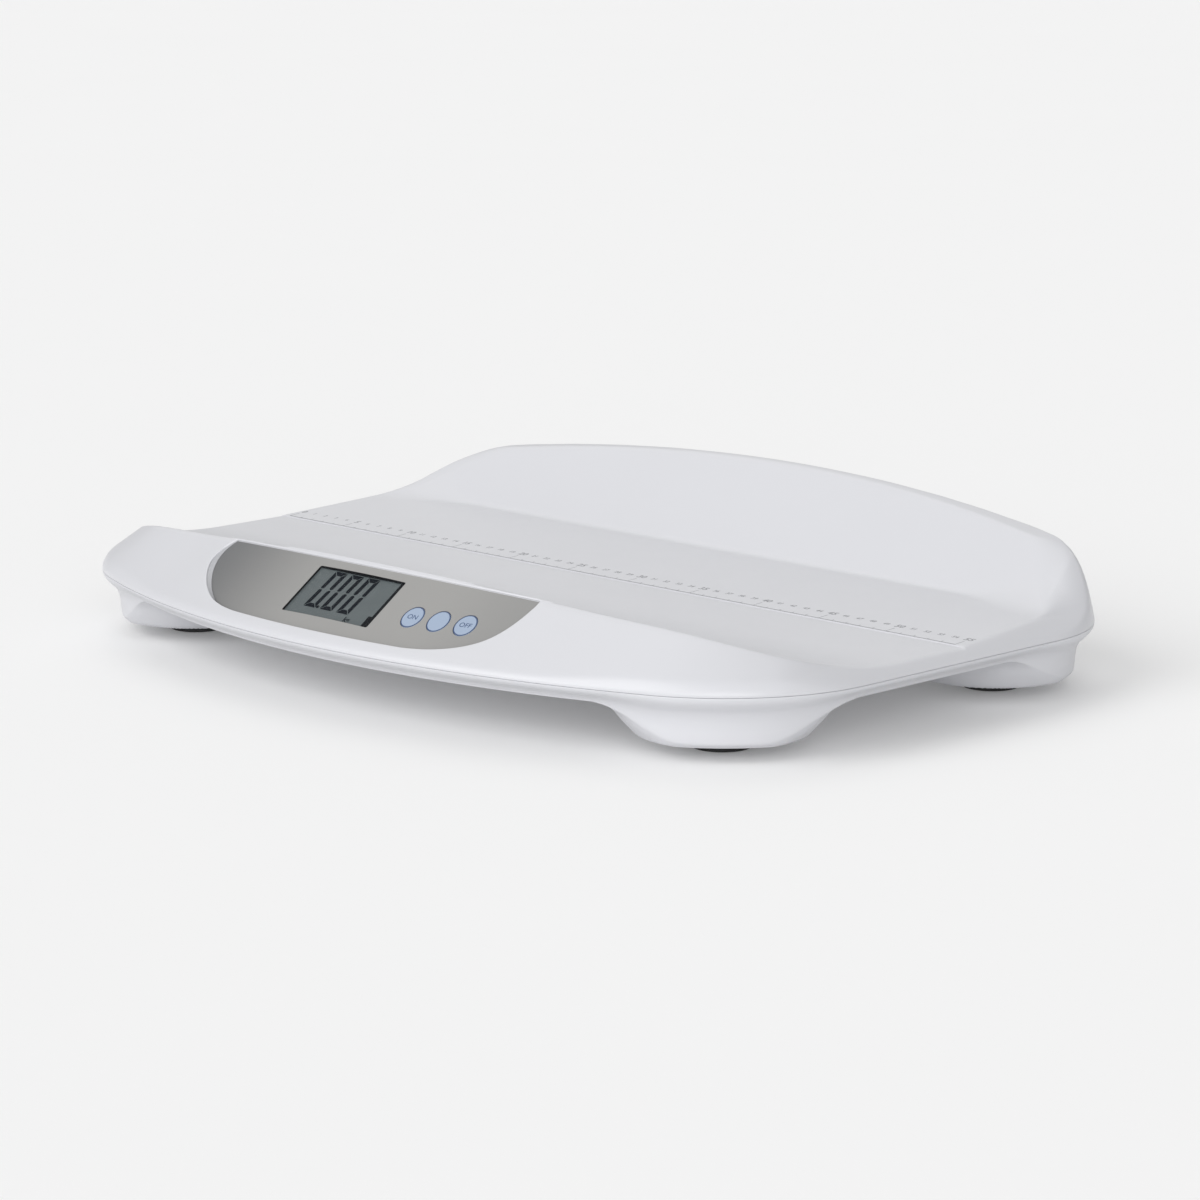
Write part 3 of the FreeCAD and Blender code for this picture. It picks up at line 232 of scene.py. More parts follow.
def makePiece(name, points, faces, finish, body="scale", stands=(), slot=None, sharp=32, marks=None):
    mesh = bpy.data.meshes.new(name)
    mesh.from_pydata((np.asarray(points, float) * mm).tolist(), [], faces)
    mesh.validate()
    piece = addObject(name, mesh)
    for one in (finish if isinstance(finish, (list, tuple)) else [finish]):
        mesh.materials.append(one)
    if marks is not None:
        mesh.polygons.foreach_set("material_index", np.asarray(marks, np.int32))
    shadeSmooth(mesh, sharp)
    return settle(piece, body, stands)


def shadeSmooth(mesh, sharp):
    mesh.polygons.foreach_set("use_smooth", np.ones(len(mesh.polygons), bool))
    mesh.set_sharp_from_angle(angle=radians(sharp))


def settle(piece, body, stands=()):
    if body:
        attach(piece, body)
    if stands:
        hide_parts(*stands)
    return piece


def bake(piece):  # a plain mesh takes the place of the modifiers
    bpy.context.view_layer.update()
    mesh = bpy.data.meshes.new_from_object(piece.evaluated_get(bpy.context.evaluated_depsgraph_get()))
    piece.modifiers.clear()
    old, piece.data = piece.data, mesh
    bpy.data.meshes.remove(old)


def cutAway(piece, *tools):
    for tool in tools:
        cut = piece.modifiers.new("cut", "BOOLEAN")
        cut.operation, cut.object, cut.solver = "DIFFERENCE", tool, "EXACT"
    bake(piece)
    for tool in tools:
        bpy.data.objects.remove(tool)
    return piece


def push(points, columns):  # more rows of points, and where they start
    start = sum(len(p) for p in points)
    points.append(np.column_stack(columns))
    return start


def turned(faces):
    return [tuple(face[::-1]) for face in faces]


def quads(first, second, count):  # faces between two closed rings of points
    return [(first + i, first + (i + 1) % count, second + (i + 1) % count, second + i) for i in range(count)]


def lathe(profile, turns):  # (radius, height) turned about the Z axis, from the bottom to the top
    points, faces, rings = [], [], []
    for radius, height in profile:
        rings.append(len(points))
        if radius < 1e-6:
            points.append((0, 0, height))
            continue
        points += [(x, y, height) for x, y in ringOutline(0, 0, radius, turns)]
    for low, high, (lowRadius, _), (highRadius, _) in zip(rings, rings[1:], profile, profile[1:]):
        if lowRadius < 1e-6:
            faces += [(low, high + (i + 1) % turns, high + i) for i in range(turns)]
        elif highRadius < 1e-6:
            faces += [(low + i, low + (i + 1) % turns, high) for i in range(turns)]
        else:
            faces += quads(low, high, turns)
    return np.array(points, float), faces


def placed(points, place):
    turn = np.array(place)[:3, :3]
    shift = np.array(place)[:3, 3]
    return np.asarray(points, float) @ turn.T + shift


def prism(outline, low, high, place=Matrix.Identity(4)):
    count = len(outline)
    points = [(x, y, low) for x, y in outline] + [(x, y, high) for x, y in outline]
    faces = [tuple(reversed(range(count))), tuple(range(count, 2 * count))] + quads(0, count, count)
    return placed(points, place), faces


def cutter(outline, low, high, place=Matrix.Identity(4), finish=None):  # its last finish stays on the cut walls
    points, faces = prism(outline, low, high, place)
    marks = np.full(len(faces), len(finish) - 1) if finish else None
    return makePiece("tool", points, faces, finish or white, body=None, marks=marks)


def ringOutline(x, y, radius, turns=72):
    return [(x + radius * cos(2 * pi * i / turns), y + radius * sin(2 * pi * i / turns))
            for i in range(turns)]


def roundedOutline(halfX, halfY, radius, turns=6):
    corners = ((1, 1, 0), (-1, 1, 90), (-1, -1, 180), (1, -1, 270))
    return [(sx * (halfX - radius) + radius * cos(radians(start + 90 * i / turns)),
             sy * (halfY - radius) + radius * sin(radians(start + 90 * i / turns)))
            for sx, sy, start in corners for i in range(turns + 1)]


def wordPoints(text, height, place, bold, thick=0.02, steps=2):  # raised letters, centred on their place
    curve = bpy.data.curves.new("word", "FONT")
    curve.body, curve.size, curve.offset = text, height, bold
    curve.align_x, curve.align_y = "CENTER", "CENTER"
    curve.extrude, curve.resolution_u = thick, steps
    word = addObject("word", curve)
    bpy.context.view_layer.update()
    mesh = bpy.data.meshes.new_from_object(word.evaluated_get(bpy.context.evaluated_depsgraph_get()))
    points = [tuple(v.co) for v in mesh.vertices]
    faces = [tuple(p.vertices) for p in mesh.polygons]
    bpy.data.objects.remove(word)
    bpy.data.meshes.remove(mesh)
    return placed(points, place), faces


def joined(parts):  # several (points, faces) as one
    points, faces = [], []
    for more, theirs in parts:
        base = len(points)
        points += [tuple(p) for p in more]
        faces += [tuple(base + i for i in face) for face in theirs]
    return points, faces


# plan of the scale, shared by tray and base

plan = Settings(
    halfWidth=289, front=-204, back=204, frontArc=586, backArc=1423, frontCorner=105, backCorner=90, seam=38.5,
    along=250, across=140)

frontArc, backArc, frontCorner, backCorner = (
    plan[key] for key in ("frontArc", "backArc", "frontCorner", "backCorner"))
frontMiddle = plan.front + frontArc
backMiddle = plan.back - backArc
frontX = plan.halfWidth - frontCorner
backX = plan.halfWidth - backCorner
frontY = frontMiddle - sqrt((frontArc - frontCorner) ** 2 - frontX ** 2)
backY = backMiddle + sqrt((backArc - backCorner) ** 2 - backX ** 2)
frontTurn = atan2(frontY - frontMiddle, frontX)
backTurn = atan2(backY - backMiddle, backX)
sideTurn = atan2(backY - frontY, backX - frontX) - acos(
    (frontCorner - backCorner) / hypot(backX - frontX, backY - frontY))


def walk(chain, shares):  # places and normals at shares of the length of a chain of arcs and lines
    lengths = [abs(part[3] - part[2]) * part[1] if len(part) == 4 else dist(*part[:2]) for part in chain]
    ends = np.cumsum(lengths)
    found = []
    for share in shares:
        along = share * ends[-1]
        index = min(int(np.searchsorted(ends, along)), len(chain) - 1)
        part, t = chain[index], 1 - (ends[index] - along) / lengths[index]
        if len(part) == 4:
            (x, y), radius, start, end = part
            angle = start + (end - start) * t
            normal = (cos(angle), sin(angle))
            found.append((x + radius * normal[0], y + radius * normal[1], *normal))
        else:
            (x0, y0), (x1, y1), normal = part
            found.append((x0 + (x1 - x0) * t, y0 + (y1 - y0) * t, *normal))
    return np.array(found)


frontMid, backMid = (frontTurn + sideTurn) / 2, (sideTurn + backTurn) / 2  # middles of the corner arcs
sideOut = (cos(sideTurn), sin(sideTurn))
rightSide = [
    ((frontX, frontY), frontCorner, frontMid, sideTurn),
    ((frontX + frontCorner * sideOut[0], frontY + frontCorner * sideOut[1]),
     (backX + backCorner * sideOut[0], backY + backCorner * sideOut[1]), sideOut),
    ((backX, backY), backCorner, sideTurn, backMid)]


def longSide(x, y, corner, middle, arc, turns):  # half a corner, the long arc and half the other corner
    parts = (((x, y), corner), ((0, middle), arc), ((-x, y), corner))
    chain = [(*part, *ends) for part, ends in zip(parts, zip(turns, turns[1:]))]
    return walk(chain, np.linspace(0, 1, plan.along + 1))[:-1]


def planBorder():  # the seam's outline with its normals, from the front right corner round by the back
    right = walk(rightSide, rowShares)
    back = longSide(backX, backY, backCorner, backMiddle, backArc,
                    (backMid, backTurn, pi - backTurn, pi - backMid))
    front = longSide(-frontX, frontY, frontCorner, frontMiddle, frontArc,
                     (pi - frontMid, pi - frontTurn, 2 * pi + frontTurn, 2 * pi + frontMid))
    left = right[::-1] * (-1, 1, -1, 1)
    return np.concatenate([right[:-1], back, left[:-1], front])


def arcCentre(start, end, radius):  # of an arc through two points that curves upwards
    dx, dz = end[0] - start[0], end[1] - start[1]
    half = hypot(dx, dz) / 2
    deep = sqrt(radius ** 2 - half ** 2)
    return (start[0] + end[0]) / 2 + dz / (2 * half) * deep, (start[1] + end[1]) / 2 - dx / (2 * half) * deep


def insetAt(x, y):  # distance inwards from the outline
    x = np.abs(x)
    depth = np.minimum(frontArc - np.hypot(x, y - frontMiddle),
                       backArc - np.hypot(x, y - backMiddle))
    side = frontCorner - (x - frontX) * cos(sideTurn) - (y - frontY) * sin(sideTurn)
    depth = np.minimum(depth, side)
    for cx, cy, radius, low, high in ((frontX, frontY, frontCorner, frontTurn, sideTurn),
                                      (backX, backY, backCorner, sideTurn, backTurn)):
        angle = np.arctan2(y - cy, x - cx)
        depth = np.where((angle > low) & (angle < high), radius - np.hypot(x - cx, y - cy), depth)
    return depth


def softMin(a, b, reach):  # the lower of two surfaces, blended over the reach
    overlap = np.maximum(reach - np.abs(a - b), 0)
    return np.minimum(a, b) - overlap * overlap / (4 * reach)


def softMax(a, b, reach):
    return -softMin(-a, -b, reach)


def ease(x):
    x = np.clip(x, 0, 1)
    return x * x * (3 - 2 * x)


def fade(x, start, run):  # from 0 at the start to 1 at the end of the run
    return ease((x - start) / run)


# A shell: rings of (inset, level) from the seam inwards and a grid in the middle, outside and inside. The inner
# side has half as many steps. Held rows of the outer grid follow one line across, such as the ruler's step.

def shellFromPlan(rings, inner, height, innerHeight, flip):
    across, along = plan.across, plan.along
    count = len(border)
    points, faces = [], []

    def addRing(inset, level, step=1):
        edge = border[::step]
        x, y = edge[:, 0] - edge[:, 2] * inset, edge[:, 1] - edge[:, 3] * inset
        z = level(x, y, inset) if callable(level) else np.full(len(x), float(level))
        return push(points, [x, y, z]), len(x)

    def addFloor(inset, level, start, step):
        edge = border[::step]
        rim = np.column_stack([edge[:, 0] - edge[:, 2] * inset, edge[:, 1] - edge[:, 3] * inset])
        m, n = across // step, along // step
        loop = np.concatenate([rim, rim[:1]])
        right, back = loop[:m + 1], loop[m:m + n + 1][::-1]
        left, front = loop[m + n:2 * m + n + 1][::-1], loop[2 * m + n:]
        w = np.linspace(0, 1, n + 1)[:, None, None]
        shares = rowShares[::step]

        def patch(v):  # places between the four sides
            sideLow, sideHigh = (np.stack([np.interp(v, shares, side[:, k]) for k in (0, 1)], -1)
                                 for side in (left, right))
            v = v[..., None]
            a = (1 - v) * front[:, None] + v * back[:, None]
            b = (1 - w) * sideLow + w * sideHigh
            corners = (1 - w) * ((1 - v) * front[0] + v * back[0]) + w * ((1 - v) * front[-1] + v * back[-1])
            return a + b - corners

        v = np.repeat(shares[None, :], n + 1, 0)
        if step == 1:
            fine = np.repeat(np.linspace(0, 1, 401)[None, :], n + 1, 0)
            fineY = patch(fine)[..., 1]
            low, high = heldRows[0], heldRows[-1]
            held = {row: np.array([np.interp(right[row, 1], fineY[i], fine[i]) for i in range(n + 1)])
                    for row in heldRows}
            for row in range(m + 1):
                if row in held:
                    v[:, row] = held[row]
                elif row < low:
                    v[:, row] = shares[row] * held[low] / shares[low]
                else:
                    v[:, row] = 1 - (1 - shares[row]) * (1 - held[high]) / (1 - shares[high])
        grid = patch(v)
        number = np.zeros((n + 1, m + 1), int)
        number[n, :] = start + np.arange(m + 1)
        number[:, m] = start + m + n - np.arange(n + 1)
        number[0, :] = start + 2 * m + n - np.arange(m + 1)
        number[:, 0] = start + (2 * m + n + np.arange(n + 1)) % (2 * m + 2 * n)
        inside = grid[1:-1, 1:-1].reshape(-1, 2)
        base = push(points, [inside, level(inside[:, 0], inside[:, 1], None)])
        number[1:-1, 1:-1] = base + np.arange(len(inside)).reshape(n - 1, m - 1)
        a, b, c, d = number[:-1, :-1], number[1:, :-1], number[1:, 1:], number[:-1, 1:]
        return np.stack([a, b, c, d], -1).reshape(-1, 4).tolist()

    for number, (inset, level) in enumerate(rings):
        start, size = addRing(inset, level)
        if number:
            faces += quads(previous, start, size)
        previous = start
    faces += addFloor(rings[-1][0], height, previous, 1)
    for number, (inset, level) in enumerate(inner):
        start, size = addRing(inset, level, 2)
        if number:
            faces += turned(quads(previous, start, size))
        else:
            for i in range(size):  # two fine steps of the outer edge meet one of the inner
                a, b, c = 2 * i, 2 * i + 1, (2 * i + 2) % count
                p, q = start + i, start + (i + 1) % size
                faces += [(p, b, a), (p, q, b), (q, c, b)]
        previous = start
    faces += turned(addFloor(inner[-1][0], innerHeight, previous, 2))
    return np.concatenate(points), turned(faces) if flip else faces


# weighing tray

tray = Settings(
    lip=41.5, cornerLift=2.5, cornerLean=0.13, cornerSide=(150, 70), cornerBack=90, apron=33, wallLean=14.5,
    floor=44.5, troughRadius=250, troughStart=-25, ruler=26, step=0.7, crease=117, creaseHeight=50.5,
    creaseCorner=2, rimHeight=94, rimBack=182, rimSide=266, rimCorner=50, wallEnd=38, arch=1700,
    shoulderStart=220, shoulderReach=275, shoulderHeight=49.5, shoulderRadius=80, edgeSlope=34, edgeRound=3.5,
    edgeDrop=2.4, crestRound=1.7, endRound=13, creaseRound=2, creaseEnd=13, rimRound=7, skin=3, behindPanel=3.5,
    panelSide=150, panelBack=118, gap=0.08, creaseFade=(200, 60), endSide=(210, 50), endBack=(95, 40),
    insets=(0, 0.06, 0.2, 0.45, 0.8, 1.3, 1.9, 2.6, 3.5, 4.5, 5.6, 6.8, 8, 9.4, 10.8, 12, 13, 13.8, 14.6, 15.4,
            16.4, 17.6, 19, 20.5),
    innerInsets=(3.05, 5, 9, 14, 20.5))


def backWallAt(x, y):  # the inner face of the back wall, whose corners widen from the crease to the rim
    rise = tray.rimHeight - tray.creaseHeight
    low, high = np.zeros_like(x) - 0.2, np.zeros_like(x) + 2.0
    for _ in range(40):
        u = (low + high) / 2
        back = tray.crease + (tray.rimBack - tray.crease) * u
        corner = tray.creaseCorner + (tray.rimCorner - tray.creaseCorner) * u
        dx, dy = np.abs(x) - tray.rimSide + corner, y - back + corner
        inside = (np.hypot(np.maximum(dx, 0), np.maximum(dy, 0)) <= corner) & (np.abs(x) <= tray.rimSide)
        low, high = np.where(inside, low, u), np.where(inside, u, high)
    return tray.creaseHeight + rise * high


def archAt(x):  # arch of the rim, round shoulder and straight slope, seen from the front
    x = np.abs(x)
    start, reach = tray.shoulderStart, tray.shoulderReach
    spring = tray.rimHeight - tray.arch + sqrt(tray.arch ** 2 - start ** 2)
    top = tray.rimHeight - tray.arch + np.sqrt(tray.arch ** 2 - np.minimum(x, start) ** 2)
    cx, cz = arcCentre((start, spring), (reach, tray.shoulderHeight), tray.shoulderRadius)
    inArc = np.clip(x, start, reach)
    shoulder = cz + np.sqrt(tray.shoulderRadius ** 2 - (inArc - cx) ** 2)
    line = tray.shoulderHeight - (x - reach) * tan(radians(tray.edgeSlope))
    return np.where(x < start, top, np.where(x < reach, shoulder, line))


def trayTop(x, y, inset=None):
    depth = insetAt(x, y) if inset is None else inset
    share = fade(np.abs(x), *tray.cornerSide) * (1 - fade(y, frontY, tray.cornerBack))  # 1 at the front corners
    across = np.clip((y - frontY) / (backY - frontY), 0, 1)
    across = across + tray.cornerLean * share * (1 - across)
    run = (1 - across) / tan(radians(tray.apron)) + across * tan(radians(tray.wallLean))
    outside = tray.lip + tray.cornerLift * share * ease(depth / 8 + 0.35) + depth / run
    outside = softMin(outside, archAt(x), tray.rimRound)
    far = np.maximum(tray.troughStart - y, 0)
    trough = tray.floor + tray.troughRadius - np.sqrt(tray.troughRadius ** 2 - far ** 2)
    flat = tray.floor + tray.step * ease((y - tray.ruler + 0.5) / 0.6)
    ramp = (tray.creaseHeight - tray.floor - tray.step) / (tray.crease - tray.ruler)
    flat = flat + np.maximum(y - tray.ruler, 0) * ramp
    wall = np.minimum(backWallAt(x, y), tray.creaseHeight
                      + (y - tray.crease) * tan(radians(tray.wallEnd)))
    atEnd = fade(np.abs(x), *tray.creaseFade)  # the creases die away at their ends
    inside = softMax(flat, wall, tray.creaseRound + tray.creaseEnd * atEnd)
    inside = np.where(y < tray.troughStart, trough, inside)
    atEnd = fade(np.abs(x), *tray.endSide) * fade(y, *tray.endBack)  # the back wall's ends roll over softly
    return softMin(outside, inside, tray.crestRound + tray.endRound * atEnd)


def trayEdge(x, y, inset):  # the top with its rounded outer edge
    top = trayTop(x, y, inset)
    edge = trayTop(x, y, 0)
    drop = np.minimum(tray.edgeDrop, edge - plan.seam - 0.45)
    share = min(inset / tray.edgeRound, 1)
    return top - drop * (1 - sqrt(1 - (1 - share) ** 2))


def behindTray(x, y, inset=None):  # the inner side, deeper behind the panel
    depth = insetAt(x, y) if inset is None else inset
    onPanel = ease((tray.panelSide - np.abs(x)) / 16) * ease((-y - tray.panelBack) / 16) * ease(depth / 6)
    return np.maximum(trayTop(x, y, inset) - tray.skin - tray.behindPanel * onPanel, plan.seam + 0.6)


def rowPlan():  # shares of the rows across, three of which are held at the ruler's step
    rows = plan.across
    shares = np.linspace(0, 1, rows + 1)
    probe = np.linspace(0, 1, 4001)
    sideY = walk(rightSide, probe)[:, 1]
    targets = (tray.ruler - 0.55, tray.ruler - 0.2, tray.ruler + 0.15)
    middle = int(np.searchsorted(np.interp(shares, probe, sideY), tray.ruler))
    held = [middle - 1, middle, middle + 1]
    exact = [float(np.interp(t, sideY, probe)) for t in targets]
    low = np.linspace(0, exact[0], held[0] + 1)
    high = np.linspace(exact[-1], 1, rows - held[-1] + 1)
    return np.concatenate([low[:-1], exact, high[1:]]), held


rowShares, heldRows = rowPlan()
border = planBorder()
seam = plan.seam


def seamRings(side):  # rounded edge at the seam, up for the tray and down for the base
    gap = tray.gap
    return [(inset, seam + side * gap + side * lift) for inset, lift in ((0.3, 0), (0.1, 0.08), (0, 0.3))]


trayRings = seamRings(1) + [(inset, trayEdge) for inset in tray.insets]
trayInner = [(3, seam + tray.gap)] + [(inset, behindTray) for inset in tray.innerInsets]
trayShell = makePiece("weighing_tray", *shellFromPlan(trayRings, trayInner, trayTop, behindTray, False), white,
                      stands=["tray_shell"], slot="white_shell", sharp=50)
print("tray skin made", len(trayShell.data.vertices))


# panel let into the sloping front

apron = Settings(lip=41.5, angle=33, arc=586)
slope = radians(apron.angle)


def onApron(back, turn=0.0):  # a place on the sloping front, by distance up from the seam and turn along it
    radius = apron.arc - back
    angle = radians(turn)
    base = Vector((radius * sin(angle), frontMiddle - radius * cos(angle), apron.lip + back * tan(slope)))
    return Matrix.Translation(base) @ Matrix.Rotation(angle, 4, "Z") @ Matrix.Rotation(slope, 4, "X")


def apronHeight(x, y, depth):
    back = apron.arc - np.hypot(x, y - frontMiddle)
    return apron.lip + back * tan(slope) - depth / cos(slope)


# depth: the sheet's lower and upper edge, as (distance up, depth). left, right: knots of the outline.
# wall: spread of the left wall, as (distance below the top line, spread).
panel = Settings(
    bottomArc=579, topArc=800, top=-151.1, topLeft=-127, topRight=125, fit=0.15, depth=((8, 2.7), (51.5, 0.9)),
    left=((-131.1, -146.2), (-132.4, -150.5), (-132.3, -154.9), (-130, -159.8), (-125.8, -165.2),
          (-120.2, -170.5), (-114.4, -175.2), (-108.4, -179.3), (-101.5, -183.3), (-94.1, -186.7), (-83, -190.2)),
    right=((125.5, -145), (124.9, -149.5), (124, -154.5), (122.4, -160.2), (120.1, -165.8), (116.9, -171),
           (112.8, -175.5), (107.3, -179.7), (100.8, -183.4), (92.7, -186.9), (83, -190)),
    wall=((0, 0.3), (3, 0.7), (6, 1.5), (10, 2.6), (14, 3.4), (18, 3.7), (24, 3.4), (28.5, 3), (32.5, 2.7),
          (38.7, 2.2), (41.2, 1.4), (43.5, 0.3)))


def arcAt(x, middle, radius):
    return x, middle - sqrt(radius * radius - x * x)


def openingOutline():  # arcs above and below, smooth curves through the knots at both ends
    topMiddle = panel.top + panel.topArc
    top = [arcAt(x, topMiddle, panel.topArc) for x in np.linspace(panel.topRight, panel.topLeft, 80)]
    bottom = [arcAt(x, frontMiddle, panel.bottomArc) for x in np.linspace(-70, 70, 60)]
    ends = {}
    for name, corner, low, turn in (("left", top[-1], (-70, -60), 1), ("right", top[0], (70, 60), -1)):
        knots = [(corner[0] + 3 * turn, corner[1] - 0.5), corner, *panel[name],
                 *(arcAt(x, frontMiddle, panel.bottomArc) for x in low)]
        ends[name] = []
        for a, b, c, d in zip(*(np.array(knots[i:]) for i in range(4))):
            for t in np.linspace(0, 1, 7)[:-1]:
                ends[name].append(0.5 * (2 * b + (c - a) * t + (2 * a - 5 * b + 4 * c - d) * t * t
                                         + (3 * b - a - 3 * c + d) * t ** 3))
    return np.array([*top, *ends["left"][1:], *bottom, *ends["right"][:0:-1]])


def outwardOf(ring):  # normals of a closed outline
    along = np.roll(ring, -1, 0) - np.roll(ring, 1, 0)
    out = np.column_stack([along[:, 1], -along[:, 0]])
    return out / np.linalg.norm(out, axis=1)[:, None]


def sheetDepth(back):
    return np.interp(back, *zip(*panel.depth))


opening = openingOutline()
belowTop = panel.top + panel.topArc - np.sqrt(panel.topArc ** 2 - opening[:, 0] ** 2) - opening[:, 1]
wallSpread = np.where(opening[:, 0] < -70, np.interp(belowTop, *zip(*panel.wall)), 0.3)
shield = opening - outwardOf(opening) * wallSpread[:, None]
outward = outwardOf(shield)


capShares = (1, 0.985, 0.95, 0.9, 0.82, 0.74, 0.66, 0.58, 0.5, 0.42, 0.34, 0.26, 0.18, 0.1, 0.04)


# A solid with the panel's outline, from layers of (growth, depth) from the bottom up. A depth of None is the
# sheet's own, with a third number added. The layer that is named wall takes the second finish.

def shieldSolid(name, layers, finish, wall=None, **kept):
    points, faces = [], []
    centre = np.array([0, -168.0])
    count = len(shield)

    def heightOf(ring, depth, extra=0):
        if depth is None:
            depth = sheetDepth(apron.arc - np.hypot(ring[:, 0], ring[:, 1] - frontMiddle)) + extra
        return apronHeight(ring[:, 0], ring[:, 1], depth)

    def addCap(grow, depth, below, extra=0):
        rim = shield + outward * np.reshape(grow, (-1, 1))
        starts = []
        for share in capShares:
            ring = centre + (rim - centre) * share
            starts.append(push(points, [ring, heightOf(ring, depth, extra)]))
        starts.append(push(points, [centre[None], heightOf(centre[None], depth, extra)]))
        some = []
        for a, b in zip(starts[:-2], starts[1:-1]):
            some += quads(a, b, count)
        some += [(starts[-2] + i, starts[-2] + (i + 1) % count, starts[-1]) for i in range(count)]
        faces.extend(turned(some) if below else some)
        return starts[0]

    low = addCap(*layers[0][:2], True, *layers[0][2:])
    high = addCap(*layers[-1][:2], False, *layers[-1][2:])
    previous = low
    marks = [0] * len(faces)
    for number, (grow, depth, *extra) in enumerate(layers[1:-1]):
        rim = shield + outward * np.reshape(grow, (-1, 1))
        start = push(points, [rim, heightOf(rim, depth, *extra)])
        faces += quads(previous, start, count)
        marks += [int(number == wall)] * count
        previous = start
    faces += quads(previous, high, count)
    return makePiece(name, np.concatenate(points), faces, finish, marks=marks + [0] * count, **kept)


window = Settings(x=-2, halfX=35.5, halfY=18.25, back=32.2, corner=1.2)
press = Settings(radius=7.9, narrow=0.87, gap=0.25, pitch=1.9, turn=7.8, back=27.2)
buttonTurn = {name: press.turn + press.pitch * step
              for name, step in (("left", -1), ("middle", 0), ("right", 1))}


def onSheet(back, turn=0.0, x=0.0):  # a place on the sheet, which is let in deeper at its lower edge
    (low, lowDepth), (high, highDepth) = panel.depth
    rise = atan((lowDepth - highDepth) * cos(slope) / (high - low))
    return onApron(back, turn) @ Matrix.Translation((x, 0, -sheetDepth(back))) @ Matrix.Rotation(rise, 4, "X")


onWindow = onSheet(window.back, x=window.x)


def windowOutline(grow, corner):
    return roundedOutline(window.halfX + grow, window.halfY + grow, corner)


def buttonCutters():
    outline = [(x * press.narrow, y) for x, y in ringOutline(0, 0, press.radius + press.gap)]
    return [cutter(outline, -14, 6, onSheet(press.back, turn)) for turn in buttonTurn.values()]


lip = [(wallSpread + grow, depth)
       for grow, depth in ((0, 0.7), (0.08, 0.42), (0.24, 0.2), (0.5, 0.05), (0.9, -0.02))]
# the recess's wall layer carries the darker white onto the tray's cut walls as painted shade
recess = shieldSolid("recess", [(panel.fit, 3.5), (panel.fit, None, 0), *lip, (wallSpread + 3, -4)],
                     [white, recessWhite], wall=1, body=None)
trayShell.data.materials.append(recessWhite)
cutAway(trayShell, recess, cutter(windowOutline(2.9, 0.5), -30, 12, onWindow), *buttonCutters())
shadeSmooth(trayShell.data, 40)

sheet = shieldSolid("panel_sheet", [(0, 3.5), (0, None, 0.08), (-0.08, None, 0)], [panelGrey, frameBlack],
                    stands=["control_panel"], slot="grey_panel")
cutAway(sheet, cutter(windowOutline(0, window.corner), -30, 12, onWindow, [panelGrey, frameBlack]),
        *buttonCutters())
shadeSmooth(sheet.data, 30)
print("panel made", len(trayShell.data.polygons))


# display

digits = Settings(
    width=9.9, height=28.3, stroke=2.9, gap=0.36, slant=0.076, left=-24.4, low=-11.2, pitch=13.65, depth=1.8)


def digitShapes(width, height, stroke, gap):  # the six lit bars of a nought
    half = height / 2
    bars = [[(gap, height), (width - gap, height), (width - stroke - gap, height - stroke),
             (stroke + gap, height - stroke)]]
    for lift, turn in ((0, 1), (height, -1)):
        bars.append([(0, lift + turn * gap), (stroke, lift + turn * (stroke + gap)),
                     (stroke, lift + turn * (half - stroke * 0.42)), (stroke * 0.62, lift + turn * (half - gap)),
                     (stroke * 0.3, lift + turn * (half - gap)), (0, lift + turn * (half - stroke * 0.3))])
    bars.append([(x, height - y) for x, y in bars[0]])
    bars += [[(width - x, y) for x, y in bar] for bar in bars[1:3]]
    return bars


def flatShapes(shapes, depth, thick=0.03):  # thin plates behind the window, turned to face out
    parts = []
    for shape in shapes:
        area = sum(x0 * y1 - x1 * y0 for (x0, y0), (x1, y1) in zip(shape, shape[1:] + shape[:1]))
        parts.append(prism(shape if area > 0 else shape[::-1], -depth - thick, -depth, onWindow))
    return parts


shapes = []
for number in range(3):
    for bar in digitShapes(digits.width, digits.height, digits.stroke, digits.gap):
        shapes.append([(digits.left + number * digits.pitch + x + digits.slant * y, digits.low + y)
                       for x, y in bar])
point = (digits.left + digits.width + 1.4, digits.low + 1.1)
shapes.append([(point[0] + 1.15 * cos(a), point[1] + 1.15 * sin(a)) for a in np.linspace(0, 5.6, 8)])
parts = flatShapes(shapes, digits.depth)
unitPlace = onWindow @ Matrix.Translation((15.2, -14.9, -digits.depth))
parts.append(wordPoints("kg", 5.4, unitPlace, 0.06, steps=5))
makePiece("display_digits", *joined(parts), segmentInk, slot="display_glass", sharp=20)

# painted shadow along the display's top and right edges, wider on the right, with a printed mark in the corner
edge = Settings(top=0.95, right=4.3, markLeft=28.6, markTop=-9.2, depth=1.74)
x, y = window.halfX + 0.3, window.halfY + 0.3
shadowAndMark = [[(-x, y), (-x, y - edge.top), (x, y - edge.top), (x, y)],
        [(x - edge.right, y - edge.top), (x - edge.right - 0.25, -y), (x, -y), (x, y - edge.top)],
        [(edge.markLeft, edge.markTop), (edge.markLeft, -y + 0.2), (x - edge.right, -y + 0.2),
         (x - edge.right, edge.markTop)]]
makePiece("display_mask", *joined(flatShapes(shadowAndMark, edge.depth)), maskInk, slot="display_glass", sharp=20)


depths = Settings(lens=(1.6, 1.0), glass=(4.4, 1.9), frame=(5.6, 1.7), frameWall=2.6, play=0.02)


def surround():  # black frame under the sheet, open in the middle
    low, high = depths.frame
    rings = [windowOutline(wide, window.corner + wide)
             for wide in (depths.frameWall, depths.frameWall, depths.play, depths.play)]
    points = [(x, y, -depth) for ring, depth in zip(rings, (low, high, high, low)) for x, y in ring]
    count = len(rings[0])
    faces = [face for i in range(4) for face in quads(i * count, (i + 1) % 4 * count, count)]
    return placed(points, onWindow), faces


